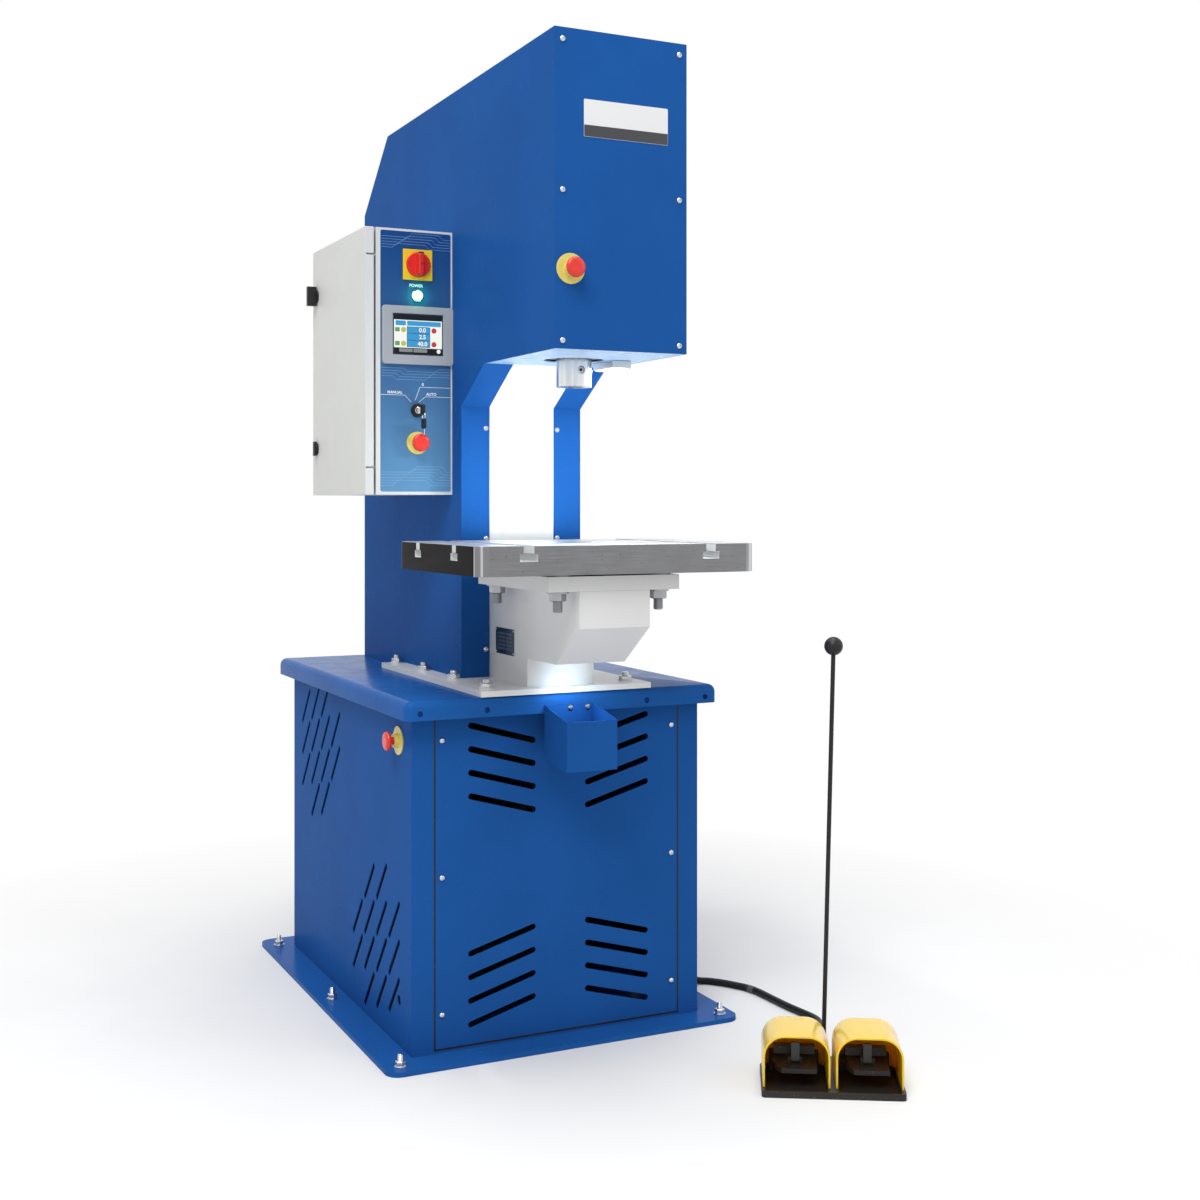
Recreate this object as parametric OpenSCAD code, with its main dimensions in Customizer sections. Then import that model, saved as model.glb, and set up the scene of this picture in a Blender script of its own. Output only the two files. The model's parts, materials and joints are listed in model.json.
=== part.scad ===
// Floor-standing hydraulic C-frame press with a control cabinet and a double foot switch.
// Millimetres. The origin is the centre of the base plate on the floor, +X is to the right of a
// person who faces the press, +Y is to the back and +Z is up.

/* [Base] */
// Width of the base plate
base_w = 808; // [760:1:900]
// Depth of the base plate
base_d = 1060; // [1000:1:1160]
// Thickness of the base plate
base_t = 10; // [8:1:16]
// Corner radius of the base plate
base_r = 30; // [10:1:50]
// Width of the base cabinet
cab_w = 668; // [650:1:700]
// Depth of the base cabinet
cab_d = 909; // [880:1:930]
// Distance from the base plate's front edge to the cabinet's front
cab_set = 71; // [60:1:80]
// Height of the base cabinet
cab_h = 721; // [690:1:760]
// Sheet thickness of the base cabinet
cab_sheet = 3; // [2:0.5:4]
// Width of the corner posts beside the removable panels
post_w = 49; // [40:1:60]
// Sheet thickness of the removable panels
panel_t = 3; // [2:0.5:4]
// Running gap around the removable panels
panel_gap = 1; // [0.5:0.5:2]
// Diameter of the levelling bolts
level_d = 12; // [10:1:16]
// Inset of the levelling bolts from the plate's sides and front
level_inset = 34; // [28:1:40]
// Spacing of the levelling bolts along the sides
level_pitch = 480; // [440:1:490]

/* [Vent slots] */
// Width of the vent slots
slot_w = 13; // [8:1:16]
// Sideways run of a front slot
front_run = 140; // [110:1:145]
// Drop of a front slot
front_drop = 39; // [30:1:44]
// Spacing of the front slots
front_pitch = 49; // [42:1:52]
// Distance of the front slots from the middle
front_inner = 64; // [50:1:75]
// Depth run of a side slot
side_run = 65; // [50:1:70]
// Drop of a side slot
side_drop = 81; // [60:1:86]
// Spacing of the side slot columns
side_col = 85; // [75:1:88]
// Rise from one side slot column to the next
side_rise = 17.3; // [10:0.1:22]
// Spacing of the side slot rows
side_row = 79; // [72:1:82]

/* [Tray] */
// Width of the top tray
tray_w = 722; // [706:1:740]
// Overhang of the tray past the cabinet's front
tray_over = 43; // [35:1:50]
// Depth of the top tray
tray_d = 1002; // [980:1:1020]
// Thickness of the tray's top sheet
tray_t = 10; // [8:1:14]
// Height of the tray's rim
rim_h = 40; // [36:1:50]
// Radius of the tray's upper edge
rim_r = 17; // [10:1:20]
// Wall of the tray's rim
rim_wall = 8; // [6:1:10]
// Diameter of the holes in the front rim
lip_hole_d = 12.4; // [10:0.1:14]
// Spacing of a pair of holes in the front rim
lip_pair = 145; // [120:1:160]
// Distance of a pair's middle from the centre plane
lip_pair_x = 257.5; // [230:0.5:265]

/* [Frame] */
// Width over the two side plates
frame_w = 156; // [140:1:164]
// Thickness of a side plate
plate_t = 30; // [24:1:34]
// Thickness of the cross webs
web_t = 20; // [12:1:24]
// Width of the foot flange
flange_w = 394; // [370:1:420]
// Depth of the foot flange
flange_d = 654; // [630:1:670]
// Thickness of the foot flange
flange_t = 12; // [10:1:20]
// Diameter of the foot flange bolts
flange_bolt_d = 16; // [12:1:18]
// Clear height below the lower arm
neck_h = 60; // [50:1:70]
// Height of the lower arm
arm_h = 154; // [140:1:170]
// Reach of the lower arm's nose past the ram axis
nose_over = 194; // [185:1:200]
// Depth of the nose chamfer
nose_run = 112; // [90:1:115]
// Height of the nose chamfer
nose_rise = 80; // [60:1:95]
// Thickness of the nose plate
nose_t = 15; // [10:1:18]
// Depth of the spine
spine_d = 379; // [350:1:385]
// Bulge of the drop deflector
deflector_bulge = 20; // [14:1:24]
// Thickness of the drop deflector
deflector_t = 6; // [4:1:8]

/* [Table] */
// Width of the table
table_w = 614; // [580:1:640]
// Depth of the table
table_d = 455; // [440:1:470]
// Thickness of the table
table_t = 58; // [52:1:66]
// Corner radius of the table
table_r = 25; // [10:1:30]
// Diameter of the table's centre bore
table_bore = 80; // [60:1:90]
// Width of the slot necks
tslot_neck = 22; // [18:1:24]
// Depth of the slot necks
tslot_neck_h = 16; // [12:1:18]
// Width of the slot undercuts
tslot_wide = 38; // [34:1:40]
// Height of the slot undercuts
tslot_wide_h = 14; // [12:1:16]
// Distance of the lengthwise slots from the ram axis
tslot_x = 200; // [180:1:215]
// Distance of the crosswise slots from the ram axis
tslot_y = 105; // [95:1:112]
// Diameter of the clamp studs
stud_d = 20; // [16:1:22]
// Distance of the clamp studs from the centre plane
stud_x = 112; // [106:1:115]
// Width of the bed flange
bed_w = 290; // [280:1:300]
// Depth of the bed flange
bed_d = 369; // [366:1:400]
// Thickness of the bed flange
bed_t = 30; // [24:1:36]
// Height of the pads between the bed flange and the table
pad_h = 4; // [3:1:6]

/* [Head] */
// Distance from the throat to the ram axis
ram_reach = 276; // [270:1:290]
// Distance from the ram axis to the head's front
head_over = 224; // [215:1:235]
// Height from the table to the head
daylight = 380; // [360:1:400]
// Height of the head
head_h = 621; // [600:1:650]
// Clearance between the cylinder block and the side covers
cover_gap = 12.3; // [10:0.1:16]
// Sheet thickness of the covers
cover_t = 3; // [2:0.5:4]
// Depth of the column
column_d = 706; // [690:1:720]
// Depth of the sloped back
slope_run = 190; // [160:1:210]
// Height of the sloped back
slope_drop = 169; // [140:1:190]
// Depth of the throat's upper chamfer
throat_run = 136; // [125:1:140]
// Height of the throat's upper chamfer
throat_drop = 84; // [70:1:90]

/* [Cylinder] */
// Diameter of the ram
ram_d = 75; // [70:1:90]
// Stroke of the ram
ram_stroke = 250; // [200:1:255]
// Distance that the ram's nose shows below the head at rest
ram_show = 56; // [50:1:70]
// Bore of the cylinder
bore_d = 200; // [180:1:205]
// Wall of the cylinder
barrel_wall = 20; // [16:1:22]
// Diameter of the tool socket in the ram's nose
socket_d = 40; // [30:1:50]
// Depth of the tool socket
socket_h = 50; // [40:1:55]
// Wall of the cylinder block beside the cylinder
block_wall = 10; // [8:1:14]
// Height of the cylinder block
block_h = 238; // [200:1:260]

/* [Control cabinet] */
// Depth of the cabinet's box from the column to its open side
box_w = 178; // [165:1:190]
// Gap between the box and the door
door_gap = 5; // [4:0.5:6]
// Thickness of the door
door_t = 19; // [17:1:22]
// Width of the door
box_d = 417.4; // [400:0.1:430]
// Height of the cabinet
box_h = 588; // [570:1:600]
// Sheet thickness of the cabinet
box_sheet = 2; // [1.5:0.5:2.5]
// Distance from the throat back to the cabinet's front
box_set = 57.4; // [50:0.1:65]
// Height of the cabinet's underside above the table
box_lift = 100; // [90:1:110]

/* [Foot switch] */
// Width of the foot switch's base
foot_w = 276; // [270:0.5:285]
// Depth of the foot switch's base without its tongue
foot_d = 165; // [163:1:172]
// Height of the foot switch's base
foot_h = 13; // [12:1:16]
// Height of the hoods above the floor
hood_h = 112; // [106:1:120]
// Gap between the hoods
hood_space = 10.5; // [8:0.5:14]
// Wall of the hoods
hood_wall = 4; // [3:0.5:5]
// Depth of the hoods
hood_d = 144; // [140:1:144]
// Width of a pedal
pedal_w = 81; // [70:1:88]
// Diameter of the carrying rod
rod_d = 9; // [8:0.5:12]
// Height of the carrying rod
rod_h = 846; // [780:1:900]
// Diameter of the carrying rod's ball
ball_d = 38; // [30:1:40]
// Diameter of the foot switch's conduit
hose_d = 16; // [14:1:18]

/* [Hidden] */

$fn = 48;
eps = 1;
fit = 0.1;
parting = 0.05;

// Colours of the finishes
blue = "#1556b0";
white = "#dfe1e2";
pale_grey = "#d6d8d8";
steel = "#8f9498";
zinc = "#c4c8cc";
black = "#1b1b1d";
yellow = "#f2c216";
red = "#d9291c";

// Cylinder and the covers around it
barrel_d = bore_d + 2 * barrel_wall;
block_w = barrel_d + 2 * block_wall;
cover_w = block_w + 2 * (cover_gap + cover_t);

// Heights
base_top = base_t;
cab_top = base_top + cab_h;
tray_top_z = cab_top + tray_t;
rim_bottom = tray_top_z - rim_h;
flange_top = tray_top_z + flange_t;
arm_bottom = flange_top + neck_h;
arm_top = arm_bottom + arm_h;
nose_z = arm_bottom + nose_rise;
bed_top = arm_top + bed_t;
table_bottom = bed_top + pad_h;
table_top = table_bottom + table_t;
head_bottom = table_top + daylight;
head_top = head_bottom + head_h;
throat_z = head_bottom - throat_drop;
slope_z = head_top - slope_drop;
plate_drop = 160;
plate_top = head_top - plate_drop;

// Depths
cab_y0 = cab_set - base_d / 2;
cab_y1 = cab_y0 + cab_d;
tray_y0 = cab_y0 - tray_over;
tray_y1 = tray_y0 + tray_d;
throat_set = 210;
throat_y = cab_y0 + throat_set;
axis_y = throat_y - ram_reach;
head_y = axis_y - head_over;
back_y = throat_y + column_d;
slope_y = back_y - slope_run;
neck_set = 45;
neck_y = axis_y + neck_set;
flange_front = 18;
flange_y0 = neck_y - flange_front;
flange_y1 = flange_y0 + flange_d;
nose_y = axis_y - nose_over;
spine_y = throat_y + spine_d;
block_back = axis_y + block_w / 2;

// Half widths
frame_x = frame_w / 2;
web_x = frame_x - plate_t;
cover_x = cover_w / 2;
cover_in = cover_x - cover_t;
cab_x = cab_w / 2;

// Removable panels of the base cabinet
panel_x = cab_x - post_w;
panel_rise = 7;
panel_drop = 15;
panel_foot = base_top + panel_rise;
panel_head = cab_top - panel_drop;
panel_lip = 27;
panel_screw_inset = 17;
panel_screw_x = panel_x - panel_screw_inset;
panel_screw_first = 70;
panel_screw_last = 64;
panel_screw_run = panel_head - panel_foot - panel_screw_first - panel_screw_last;
panel_screw_z = [for (k = [0:2]) panel_foot + panel_screw_first + k * panel_screw_run / 2];

// Levelling bolts
level_rise = 26;
level_washer_t = 2.5;

// Screws of the covers
screw_d = 6;
screw_hole_d = 6.4;
screw_head_d = 12;
strip_play = 1;
strip_in = frame_x + strip_play;
strip_screw_set = 9;
strip_screw_x = frame_x + strip_screw_set;
strip_screw_first = 62;
strip_screw_last = 48;
strip_screw_run = throat_z - flange_top - strip_screw_first - strip_screw_last;
strip_screw_z = [for (k = [0:2]) flange_top + strip_screw_first + k * strip_screw_run / 2];
cover_screw_inset = 17;
front_screw_x = cover_x - cover_screw_inset;
front_screw_first = 16;
front_screw_last = 23;
front_screw_run = head_h - front_screw_first - front_screw_last;
front_screw_z = [for (k = [0:2]) head_bottom + front_screw_first + k * front_screw_run / 2];
rear_screw_end = 90;
rear_screw_run = slope_z - tray_top_z - 2 * rear_screw_end;
rear_screw_z = [for (k = [0:3]) tray_top_z + rear_screw_end + k * rear_screw_run / 3];
fold_w = 27;
lug_w = 18;
lug_d = 20;

// Foot flange bolts
flange_washer_t = 3;
flange_bolt_inset = 34;
flange_bolt_first = 56;
flange_bolt_last = 16;
flange_bolt_x = flange_w / 2 - flange_bolt_inset;
flange_bolt_y = [for (k = [0:3])
    flange_y0 + flange_bolt_first + k * (flange_d - flange_bolt_first - flange_bolt_last) / 3];

// Clamp studs of the table
stud_ahead = 165;
stud_behind = 148;
stud_hang = 42;
stud_grip = 35;
stud_nut_h = 16;
stud_washer_t = 4;
stud_pad_d = 50;
stud_y = [axis_y - stud_ahead, axis_y + stud_behind];
stud_end = arm_top - stud_hang;
stud_seat = table_bottom + stud_grip;

// Catch box below the drop way
catch_w = 114;
catch_d = 113;
catch_sheet = 2;
catch_drop = 108;
catch_back_rise = 17;
catch_front_drop = 6;
catch_z0 = rim_bottom - catch_drop;
catch_back_z = rim_bottom + catch_back_rise;
catch_front_z = rim_bottom - catch_front_drop;
catch_screw_x = [2, 42];
catch_screw_rise = 9;
catch_screw_z = rim_bottom + catch_screw_rise;
catch_slot_w = 8.4;

// Cylinder
gland_flange_t = 18;
gland_lift = 2;
gland_inset = 2;
gland_depth = 58;
gland_z = head_bottom + cover_t + gland_lift;
block_z = gland_z + gland_flange_t;
gland_top = block_z + gland_depth;
piston_h = 50;
piston_low_gap = 10;
piston_high_gap = 20;
barrel_end = 30;
piston_z = gland_top + piston_low_gap + ram_stroke;
barrel_in = piston_z + piston_h + piston_high_gap;
barrel_top = barrel_in + barrel_end;
ram_room = 25;
set_screw_d = 16;
set_screw_rise = 34;
lamp_w = 44;
lamp_d = 92;
lamp_h = 16;
lamp_gap = 30;
ram_z = head_bottom - ram_show;

// Control cabinet
box_x1 = -cover_x;
box_x0 = box_x1 - box_w;
door_x1 = box_x0 - door_gap;
door_x0 = door_x1 - door_t;
box_y0 = throat_y + box_set;
box_y1 = box_y0 + box_d;
box_z0 = table_top + box_lift;
box_z1 = box_z0 + box_h;
box_lip = 16;
panel_set = 82.7;
panel_mid_x = box_x1 - panel_set;
main_switch_drop = 78;
lamp_drop = 146;
hmi_drop = 235;
main_switch_z = box_z1 - main_switch_drop;
lamp_z = box_z1 - lamp_drop;
hmi_z = box_z1 - hmi_drop;
hmi_w = 165;
hmi_h = 129;
hmi_body_w = 148;
hmi_body_h = 114;
hmi_body_d = 40;
hmi_t = 8;
screen_w = 118;
screen_h = 92;
screen_lift = 2;
screen_deep = 2;
switch_plate_w = 68;
switch_plate_t = 5;
switch_body_w = 50;
switch_body_d = 55;
switch_shaft_d = 12;
switch_shaft_h = 12;
knob_d = 56;
knob_t = 8;
knob_gap = 0.4;
grip_w = 16;
grip_len = 54;
grip_foot = 4;
grip_h = 22;
lamp_ring_d = 28;
lamp_ring_h = 5;
lens_d = 23;
lens_tip_d = 18;
lens_h = 6;
lamp_back = 30;
key_body_d = 30;
key_body_h = 10;
key_back = 40;
key_d = 16;
key_sink = 10;
key_play = 1;
key_show = 2;
key_bow_d = 24;
key_bow_t = 3.2;
key_bow_z = 37;
key_blade_w = 8;
key_blade_t = 2.4;
key_rise = 187;
key_z = box_z0 + key_rise;
panel_estop_rise = 115;
panel_estop_z = box_z0 + panel_estop_rise;
device_hole_d = 22.4;

// Door hinges and latches
hinge_inset = 9.6;
hinge_set = 10;
hinge_x = door_x0 + hinge_inset;
hinge_y = box_y0 + hinge_set;
hinge_pin_d = 5;
hinge_pin_h = 26;
lug_h = 3;
lug_play = 0.5;
hinge_end = 60;
hinge_z = [box_z0 + hinge_end, box_z1 - hinge_end];
latch_inset = 35.8;
latch_y = box_y1 - latch_inset;
latch_low = 112;
latch_high = 110;
latch_z = [box_z0 + latch_low, box_z1 - latch_high];
latch_d = 18;
cam_gap = 4;
cam_in = door_t + door_gap + cam_gap;
cam_t = 3;
cam_len = 30;
cam_w = 16;
cam_tail = 10;
wing_d = 30;
wing_t = 4;
wing_len = 46;
wing_w = 12;
wing_h = 22;
turn_d = 28;
turn_t = 6;
turn_len = 17;
turn_w = 14;

// Emergency stops: disc, collar and mushroom cap
estop_disc_t = 3;
estop_collar_d = 29;
estop_collar_h = 13;
estop_stem_d = 16;
estop_cap_d = 40;
estop_cap_z = 20;
estop_face = 32;
estop_thread_d = 22;
estop_thread_h = 12;
estop_block = 30;
estop_stem_z = 8;
estop_disc_d = 60;
panel_disc_d = 50;
head_estop_inset = 33.3;
head_estop_rise = 155;
head_estop = [-cover_x + head_estop_inset, head_y, head_bottom + head_estop_rise];
panel_estop = [panel_mid_x, box_y0, panel_estop_z];
side_estop_set = 80;
side_estop_drop = 85;
side_estop_y = cab_y0 + side_estop_set;
side_estop_z = cab_top - side_estop_drop;

// Vent slots and the cable hole in the side walls of the base cabinet
vent_back = 144;
vent_drop = 57;
vent_front = 335;
vent_rise = 321;
cable_hole_drop = 227;
cable_hole_d = 23;

// Control gear on its mounting plate
gear_t = 2;
gear_stand = 12;
gear_post_d = 8;
gear_front = 90;
gear_inset = 20;
gear_edge = 30;
gear_foot = 110;
gear_head = 148;
gear_d = 75;
gear_w = 46;
gear_h = 80;
gear_pitch = 54;
gear_shrink_d = 8;
gear_shrink_w = 6;
rail_t = 7;
rail_h = 34;
rail_inset = 10;

// Hydraulic unit inside the base
tank = [420, 380, 300];
tank_at = [-150, -40, base_top];
tank_wall = 3;
lid_t = 10;
lid_z = base_top + tank[2] + lid_t;
motor_at = [180, 150];
motor_d = 190;
motor_h = 310;
fin_t = 4;
fin_out = 10;
fin_sink = 3;
winding_z = 40;
winding_h = 190;
rotor_d = 100;
rotor_gap = 1;
rotor_end = 5;
shaft_d = 28;
shaft_drop = 30;
shaft_h = 285;
fan_d = 150;
fan_t = 20;
fan_z = 252;
fan_room = 48;
fan_gap = 10;
pump_d = 110;
pump_h = 130;
coil_d = 46;
coil_h = 60;
coil_tip_d = 16;
coil_tip_h = 8;
coil_pitch = 70;
valve = [140, 120, 130];
valve_at = [-90, 190];
pipe_d = 16;
elbow_d = 24;
pipe_y = 250;
pipe_top = plate_top + 35;
pipe_x = [-40, 25];
pipe_drop_y = block_back + 75;
pipe_port_z = gland_top + 25;
pipe_hole = [130, 70];

// Foot switch
foot_at = [327.1, -1001];
foot_turn = -30.3;
foot_lip = 3;
hood_w = (foot_w - 2 * foot_lip - hood_space) / 2;
hood_x = (hood_w + hood_space) / 2;
hood_y0 = 21;
hood_z = foot_h;
pedal_axis = [146, 34];
pedal_pin_d = 8;
pedal_len = 102;
pedal_lip = [-2, 7];
pedal_step = [-32, 12];
pedal_back = [-28, -8, 26];
pedal_heel = [-14, -7];
latch_axis = [78, 50];
latch_pin_d = 5;
tab_w = 17;
tab_h = 36;
rod_at = [-9, 182];
rod_lean = 1.43;
ball_hole = 18;
foot_floor = 4;
foot_wall = 6;
foot_r = 8;
foot_back_r = 26;
tongue_w = 64;
tongue_d = 35;
boss_d = 26;
boss_h = 14;
ear_t = 8;
ear_r = 8;
ear_gap = 0.5;
shoulder_r = 34;
hood_back_r = 30;
pedal_barrel_d = 16;
pedal_cut_w = 13;
pedal_cut_d = 32;
tab_t = 8;
tab_play = 0.5;
tab_ear_t = 4;
tab_ear_r = 5;
tab_ear_gap = 1;

// Conduit: ribbed as far as the joint, then a smooth sleeve
gland_len = 30;
gland_d = 26;
gland_flats = 28;
gland_nut_h = 12;
gland_tail = 6;
wall_gland = [cab_x, -250, 38];
foot_gland_len = 12;
hose_bore = 11;
rib_pitch = 4;
rib_depth = 1;
rib_sides = 8;
conduit_route = [
    [364, -250, 38], [381, -250, 38], [405, -252, 31], [428, -256, 17], [450, -262, 9],
    [472, -275, 8], [494, -302, 8], [512, -333, 8], [523.3, -355.6, 8], [528, -374, 8]
];
cable_route = [
    [528, -374, 8], [532.5, -397.5, 8], [534.5, -455, 8], [536.5, -508, 8], [541, -555, 8],
    [545, -592, 8], [542.5, -626, 8], [527, -659, 8], [494.7, -714.4, 8], [464.4, -766.2, 8],
    [442.2, -804.2, 8], [434.1, -818, 8]
];

// Shapes used by several parts

// Rectangle with round corners, centred
module round_rect(w, d, r) {
    square([w - 2 * r, d], center = true);
    square([w, d - 2 * r], center = true);
    for (sx = [-1, 1], sy = [-1, 1])
        translate([sx * (w / 2 - r), sy * (d / 2 - r)]) circle(r);
}

// Box given by its low and high corners
module span(low, high) {
    translate(low) cube(high - low);
}

// Profile in the YZ plane, extruded from x0 to x1
module side_profile(x0, x1, points) {
    translate([x0, 0, 0])
        rotate([90, 0, 90])
            linear_extrude(x1 - x0) polygon(points);
}

// Slot with round ends from a to b in the XY plane, through a height
module slot_bar(a, b, w, h) {
    run = b - a;
    translate(a) rotate([0, 0, atan2(run[1], run[0])]) {
        translate([0, -w / 2, 0]) cube([norm(run), w, h]);
        cylinder(d = w, h = h);
        translate([norm(run), 0, 0]) cylinder(d = w, h = h);
    }
}

// Button-head screw that points along -Z, with its head on the plane z = 0
module button_screw(shank) {
    cylinder(d1 = screw_head_d, d2 = screw_head_d * 0.55, h = 3.5);
    translate([0, 0, -shank]) cylinder(d = screw_d, h = shank + eps);
}

// Hexagon prism of a width across flats
module hexagon(flats, h) {
    cylinder(d = flats / cos(30), h = h, $fn = 6);
}

// Turns a shape that points along +Z towards the front
module to_front() {
    rotate([90, 0, 0]) children();
}

// Turns a shape that points along +Z towards the back
module to_back() {
    rotate([-90, 0, 0]) children();
}

// Turns a shape that points along +Z towards the left
module to_left() {
    rotate([0, -90, 0]) children();
}

// Turns a shape that points along +Z towards the right
module to_right() {
    rotate([0, 90, 0]) children();
}

// Places a shape on the foot switch
module on_foot_switch() {
    translate([foot_at[0], foot_at[1], 0]) rotate([0, 0, foot_turn]) children();
}

// Base

module level_places() {
    for (sx = [-1, 1], k = [0:2])
        translate([sx * (base_w / 2 - level_inset), level_inset - base_d / 2 + k * level_pitch, 0])
            children();
}

module base_plate() {
    color(blue)
        difference() {
            linear_extrude(base_t) round_rect(base_w, base_d, base_r);
            level_places() translate([0, 0, -eps]) cylinder(d = level_d + 1, h = base_t + 2 * eps);
        }
}

module levelling_bolts() {
    color(zinc)
        level_places() {
            cylinder(d = level_d, h = base_t + level_rise);
            translate([0, 0, base_t]) difference() {
                union() {
                    cylinder(d = 2.2 * level_d, h = level_washer_t);
                    translate([0, 0, level_washer_t]) hexagon(1.6 * level_d, 0.8 * level_d);
                }
                translate([0, 0, -eps]) cylinder(d = level_d + 2 * fit, h = level_rise);
            }
        }
}

// Vent slots of a panel that faces +Z, with its middle on the Y axis
module front_slots(h) {
    for (side = [-1, 1], k = [0:3]) {
        top = panel_head - 37 - k * front_pitch;
        low = panel_foot + 228 - k * front_pitch;
        slot_bar([side * (front_inner + front_run), top], [side * front_inner, top - front_drop],
                 slot_w, h);
        slot_bar([side * (front_inner + front_run), low - front_drop], [side * front_inner, low],
                 slot_w, h);
    }
}

// Vent slots of a side wall, drawn with Y and Z of the press as X and Y
module side_slots(h) {
    upper = [[0, 2], [0, 3], [0, 3], [1, 2]];
    lower = [[1, 2], [0, 3], [0, 3], [1, 3]];
    upper_at = [cab_y1 - vent_back, cab_top - vent_drop];
    lower_at = [cab_y0 + vent_front, base_top + vent_rise];
    for (r = [0:3]) {
        for (c = [upper[r][0]:upper[r][1]]) side_slot(upper_at, c, r, h);
        for (c = [lower[r][0]:lower[r][1]]) side_slot(lower_at, c, r, h);
    }
    translate([lower_at[0] - 3 * side_col, lower_at[1] - cable_hole_drop, 0])
        cylinder(d = cable_hole_d, h = h);
}

module side_slot(at, column, row, h) {
    top = [at[0] - column * side_col, at[1] + column * side_rise - row * side_row];
    slot_bar(top, top + [side_run, -side_drop], slot_w, h);
}

module panel_screw_places() {
    for (sx = [-1, 1], z = panel_screw_z) translate([sx * panel_screw_x, 0, z]) children();
}

// Recess, opening and screw holes for a removable panel in a wall whose outer face is at y = 0
module panel_recess() {
    inner_face = panel_t + cab_sheet + eps;
    span([-panel_x, -eps, panel_foot - panel_gap], [panel_x, panel_t, panel_head + panel_gap]);
    span([-panel_x + panel_lip, -eps, panel_foot + panel_lip],
         [panel_x - panel_lip, inner_face, panel_head - panel_lip]);
    panel_screw_places() to_back() cylinder(d = screw_hole_d, h = inner_face);
}

module base_cabinet() {
    wall = panel_t + cab_sheet;
    color(blue)
        difference() {
            span([-cab_x, cab_y0, base_top], [cab_x, cab_y1, cab_top]);
            span([-cab_x + cab_sheet, cab_y0 + wall, base_top - eps],
                 [cab_x - cab_sheet, cab_y1 - wall, cab_top + eps]);
            translate([0, cab_y0, 0]) panel_recess();
            translate([0, cab_y1, 0]) rotate([0, 0, 180]) panel_recess();
            for (x = [-cab_x - eps, cab_x - cab_sheet - eps])
                translate([x, 0, 0]) rotate([90, 0, 90]) side_slots(cab_sheet + 2 * eps);
            for (side = [-1, 1])
                translate([side * (cab_x + eps), side_estop_y, side_estop_z]) rotate([0, -90 * side, 0])
                    cylinder(d = device_hole_d, h = cab_sheet + 2 * eps);
            translate([cab_x + eps, wall_gland[1], wall_gland[2]]) to_left()
                cylinder(d = hose_d + 4, h = cab_sheet + 2 * eps);
        }
}

module cabinet_panel() {
    difference() {
        span([-panel_x + panel_gap, 0, panel_foot], [panel_x - panel_gap, panel_t, panel_head]);
        translate([0, panel_t + eps, 0]) to_front() front_slots(panel_t + 2 * eps);
        panel_screw_places() translate([0, -eps, 0]) to_back()
            cylinder(d = screw_hole_d, h = panel_t + 2 * eps);
    }
}

module front_panel() {
    color(blue) translate([0, cab_y0, 0]) cabinet_panel();
}

module rear_panel() {
    color(blue) translate([0, cab_y1 - panel_t, 0]) cabinet_panel();
}

module strip_screw_places() {
    for (sx = [-1, 1], z = strip_screw_z) translate([sx * strip_screw_x, throat_y, z]) children();
}

module front_screw_places() {
    for (sx = [-1, 1], z = front_screw_z) translate([sx * front_screw_x, head_y, z]) children();
}

module rear_screw_places() {
    for (sx = [-1, 1], z = rear_screw_z) translate([sx * front_screw_x, back_y, z]) children();
}

module catch_screw_places() {
    for (x = catch_screw_x) translate([x, tray_y0 - catch_sheet, catch_screw_z]) children();
}

module cover_screws() {
    color(zinc) {
        panel_screw_places() {
            translate([0, cab_y0, 0]) to_front() button_screw(panel_t + cab_sheet);
            translate([0, cab_y1, 0]) to_back() button_screw(panel_t + cab_sheet);
        }
        strip_screw_places() to_front() button_screw(12);
        front_screw_places() to_front() button_screw(2 * cover_t);
        rear_screw_places() to_back() button_screw(2 * cover_t);
        catch_screw_places() to_front() button_screw(catch_sheet + rim_wall);
    }
}

// Tray on the base cabinet

module tray_top() {
    pair = [lip_pair_x - lip_pair / 2, lip_pair_x + lip_pair / 2];
    color(blue)
        difference() {
            hull() {
                for (x = [-1, 1] * (tray_w / 2 - rim_r), y = [tray_y0 + rim_r, tray_y1 - rim_r])
                    translate([x, y, 0]) {
                        translate([0, 0, tray_top_z - rim_r]) sphere(rim_r, $fn = 32);
                        translate([0, 0, rim_bottom]) cylinder(r = rim_r, h = eps, $fn = 32);
                    }
            }
            span([-tray_w / 2 + rim_wall, tray_y0 + rim_wall, rim_bottom - eps],
                 [tray_w / 2 - rim_wall, tray_y1 - rim_wall, cab_top]);
            for (side = [-1, 1], x = pair)
                translate([side * x, tray_y0 - eps, rim_bottom + 14]) to_back()
                    cylinder(d = lip_hole_d, h = rim_wall + 2 * eps);
            catch_screw_places() to_back() cylinder(d = screw_hole_d, h = rim_wall + 10);
            translate([-pipe_hole[0] / 2, pipe_y - pipe_hole[1] / 2, cab_top - eps])
                cube([pipe_hole[0], pipe_hole[1], tray_t + 2 * eps]);
        }
}

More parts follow.
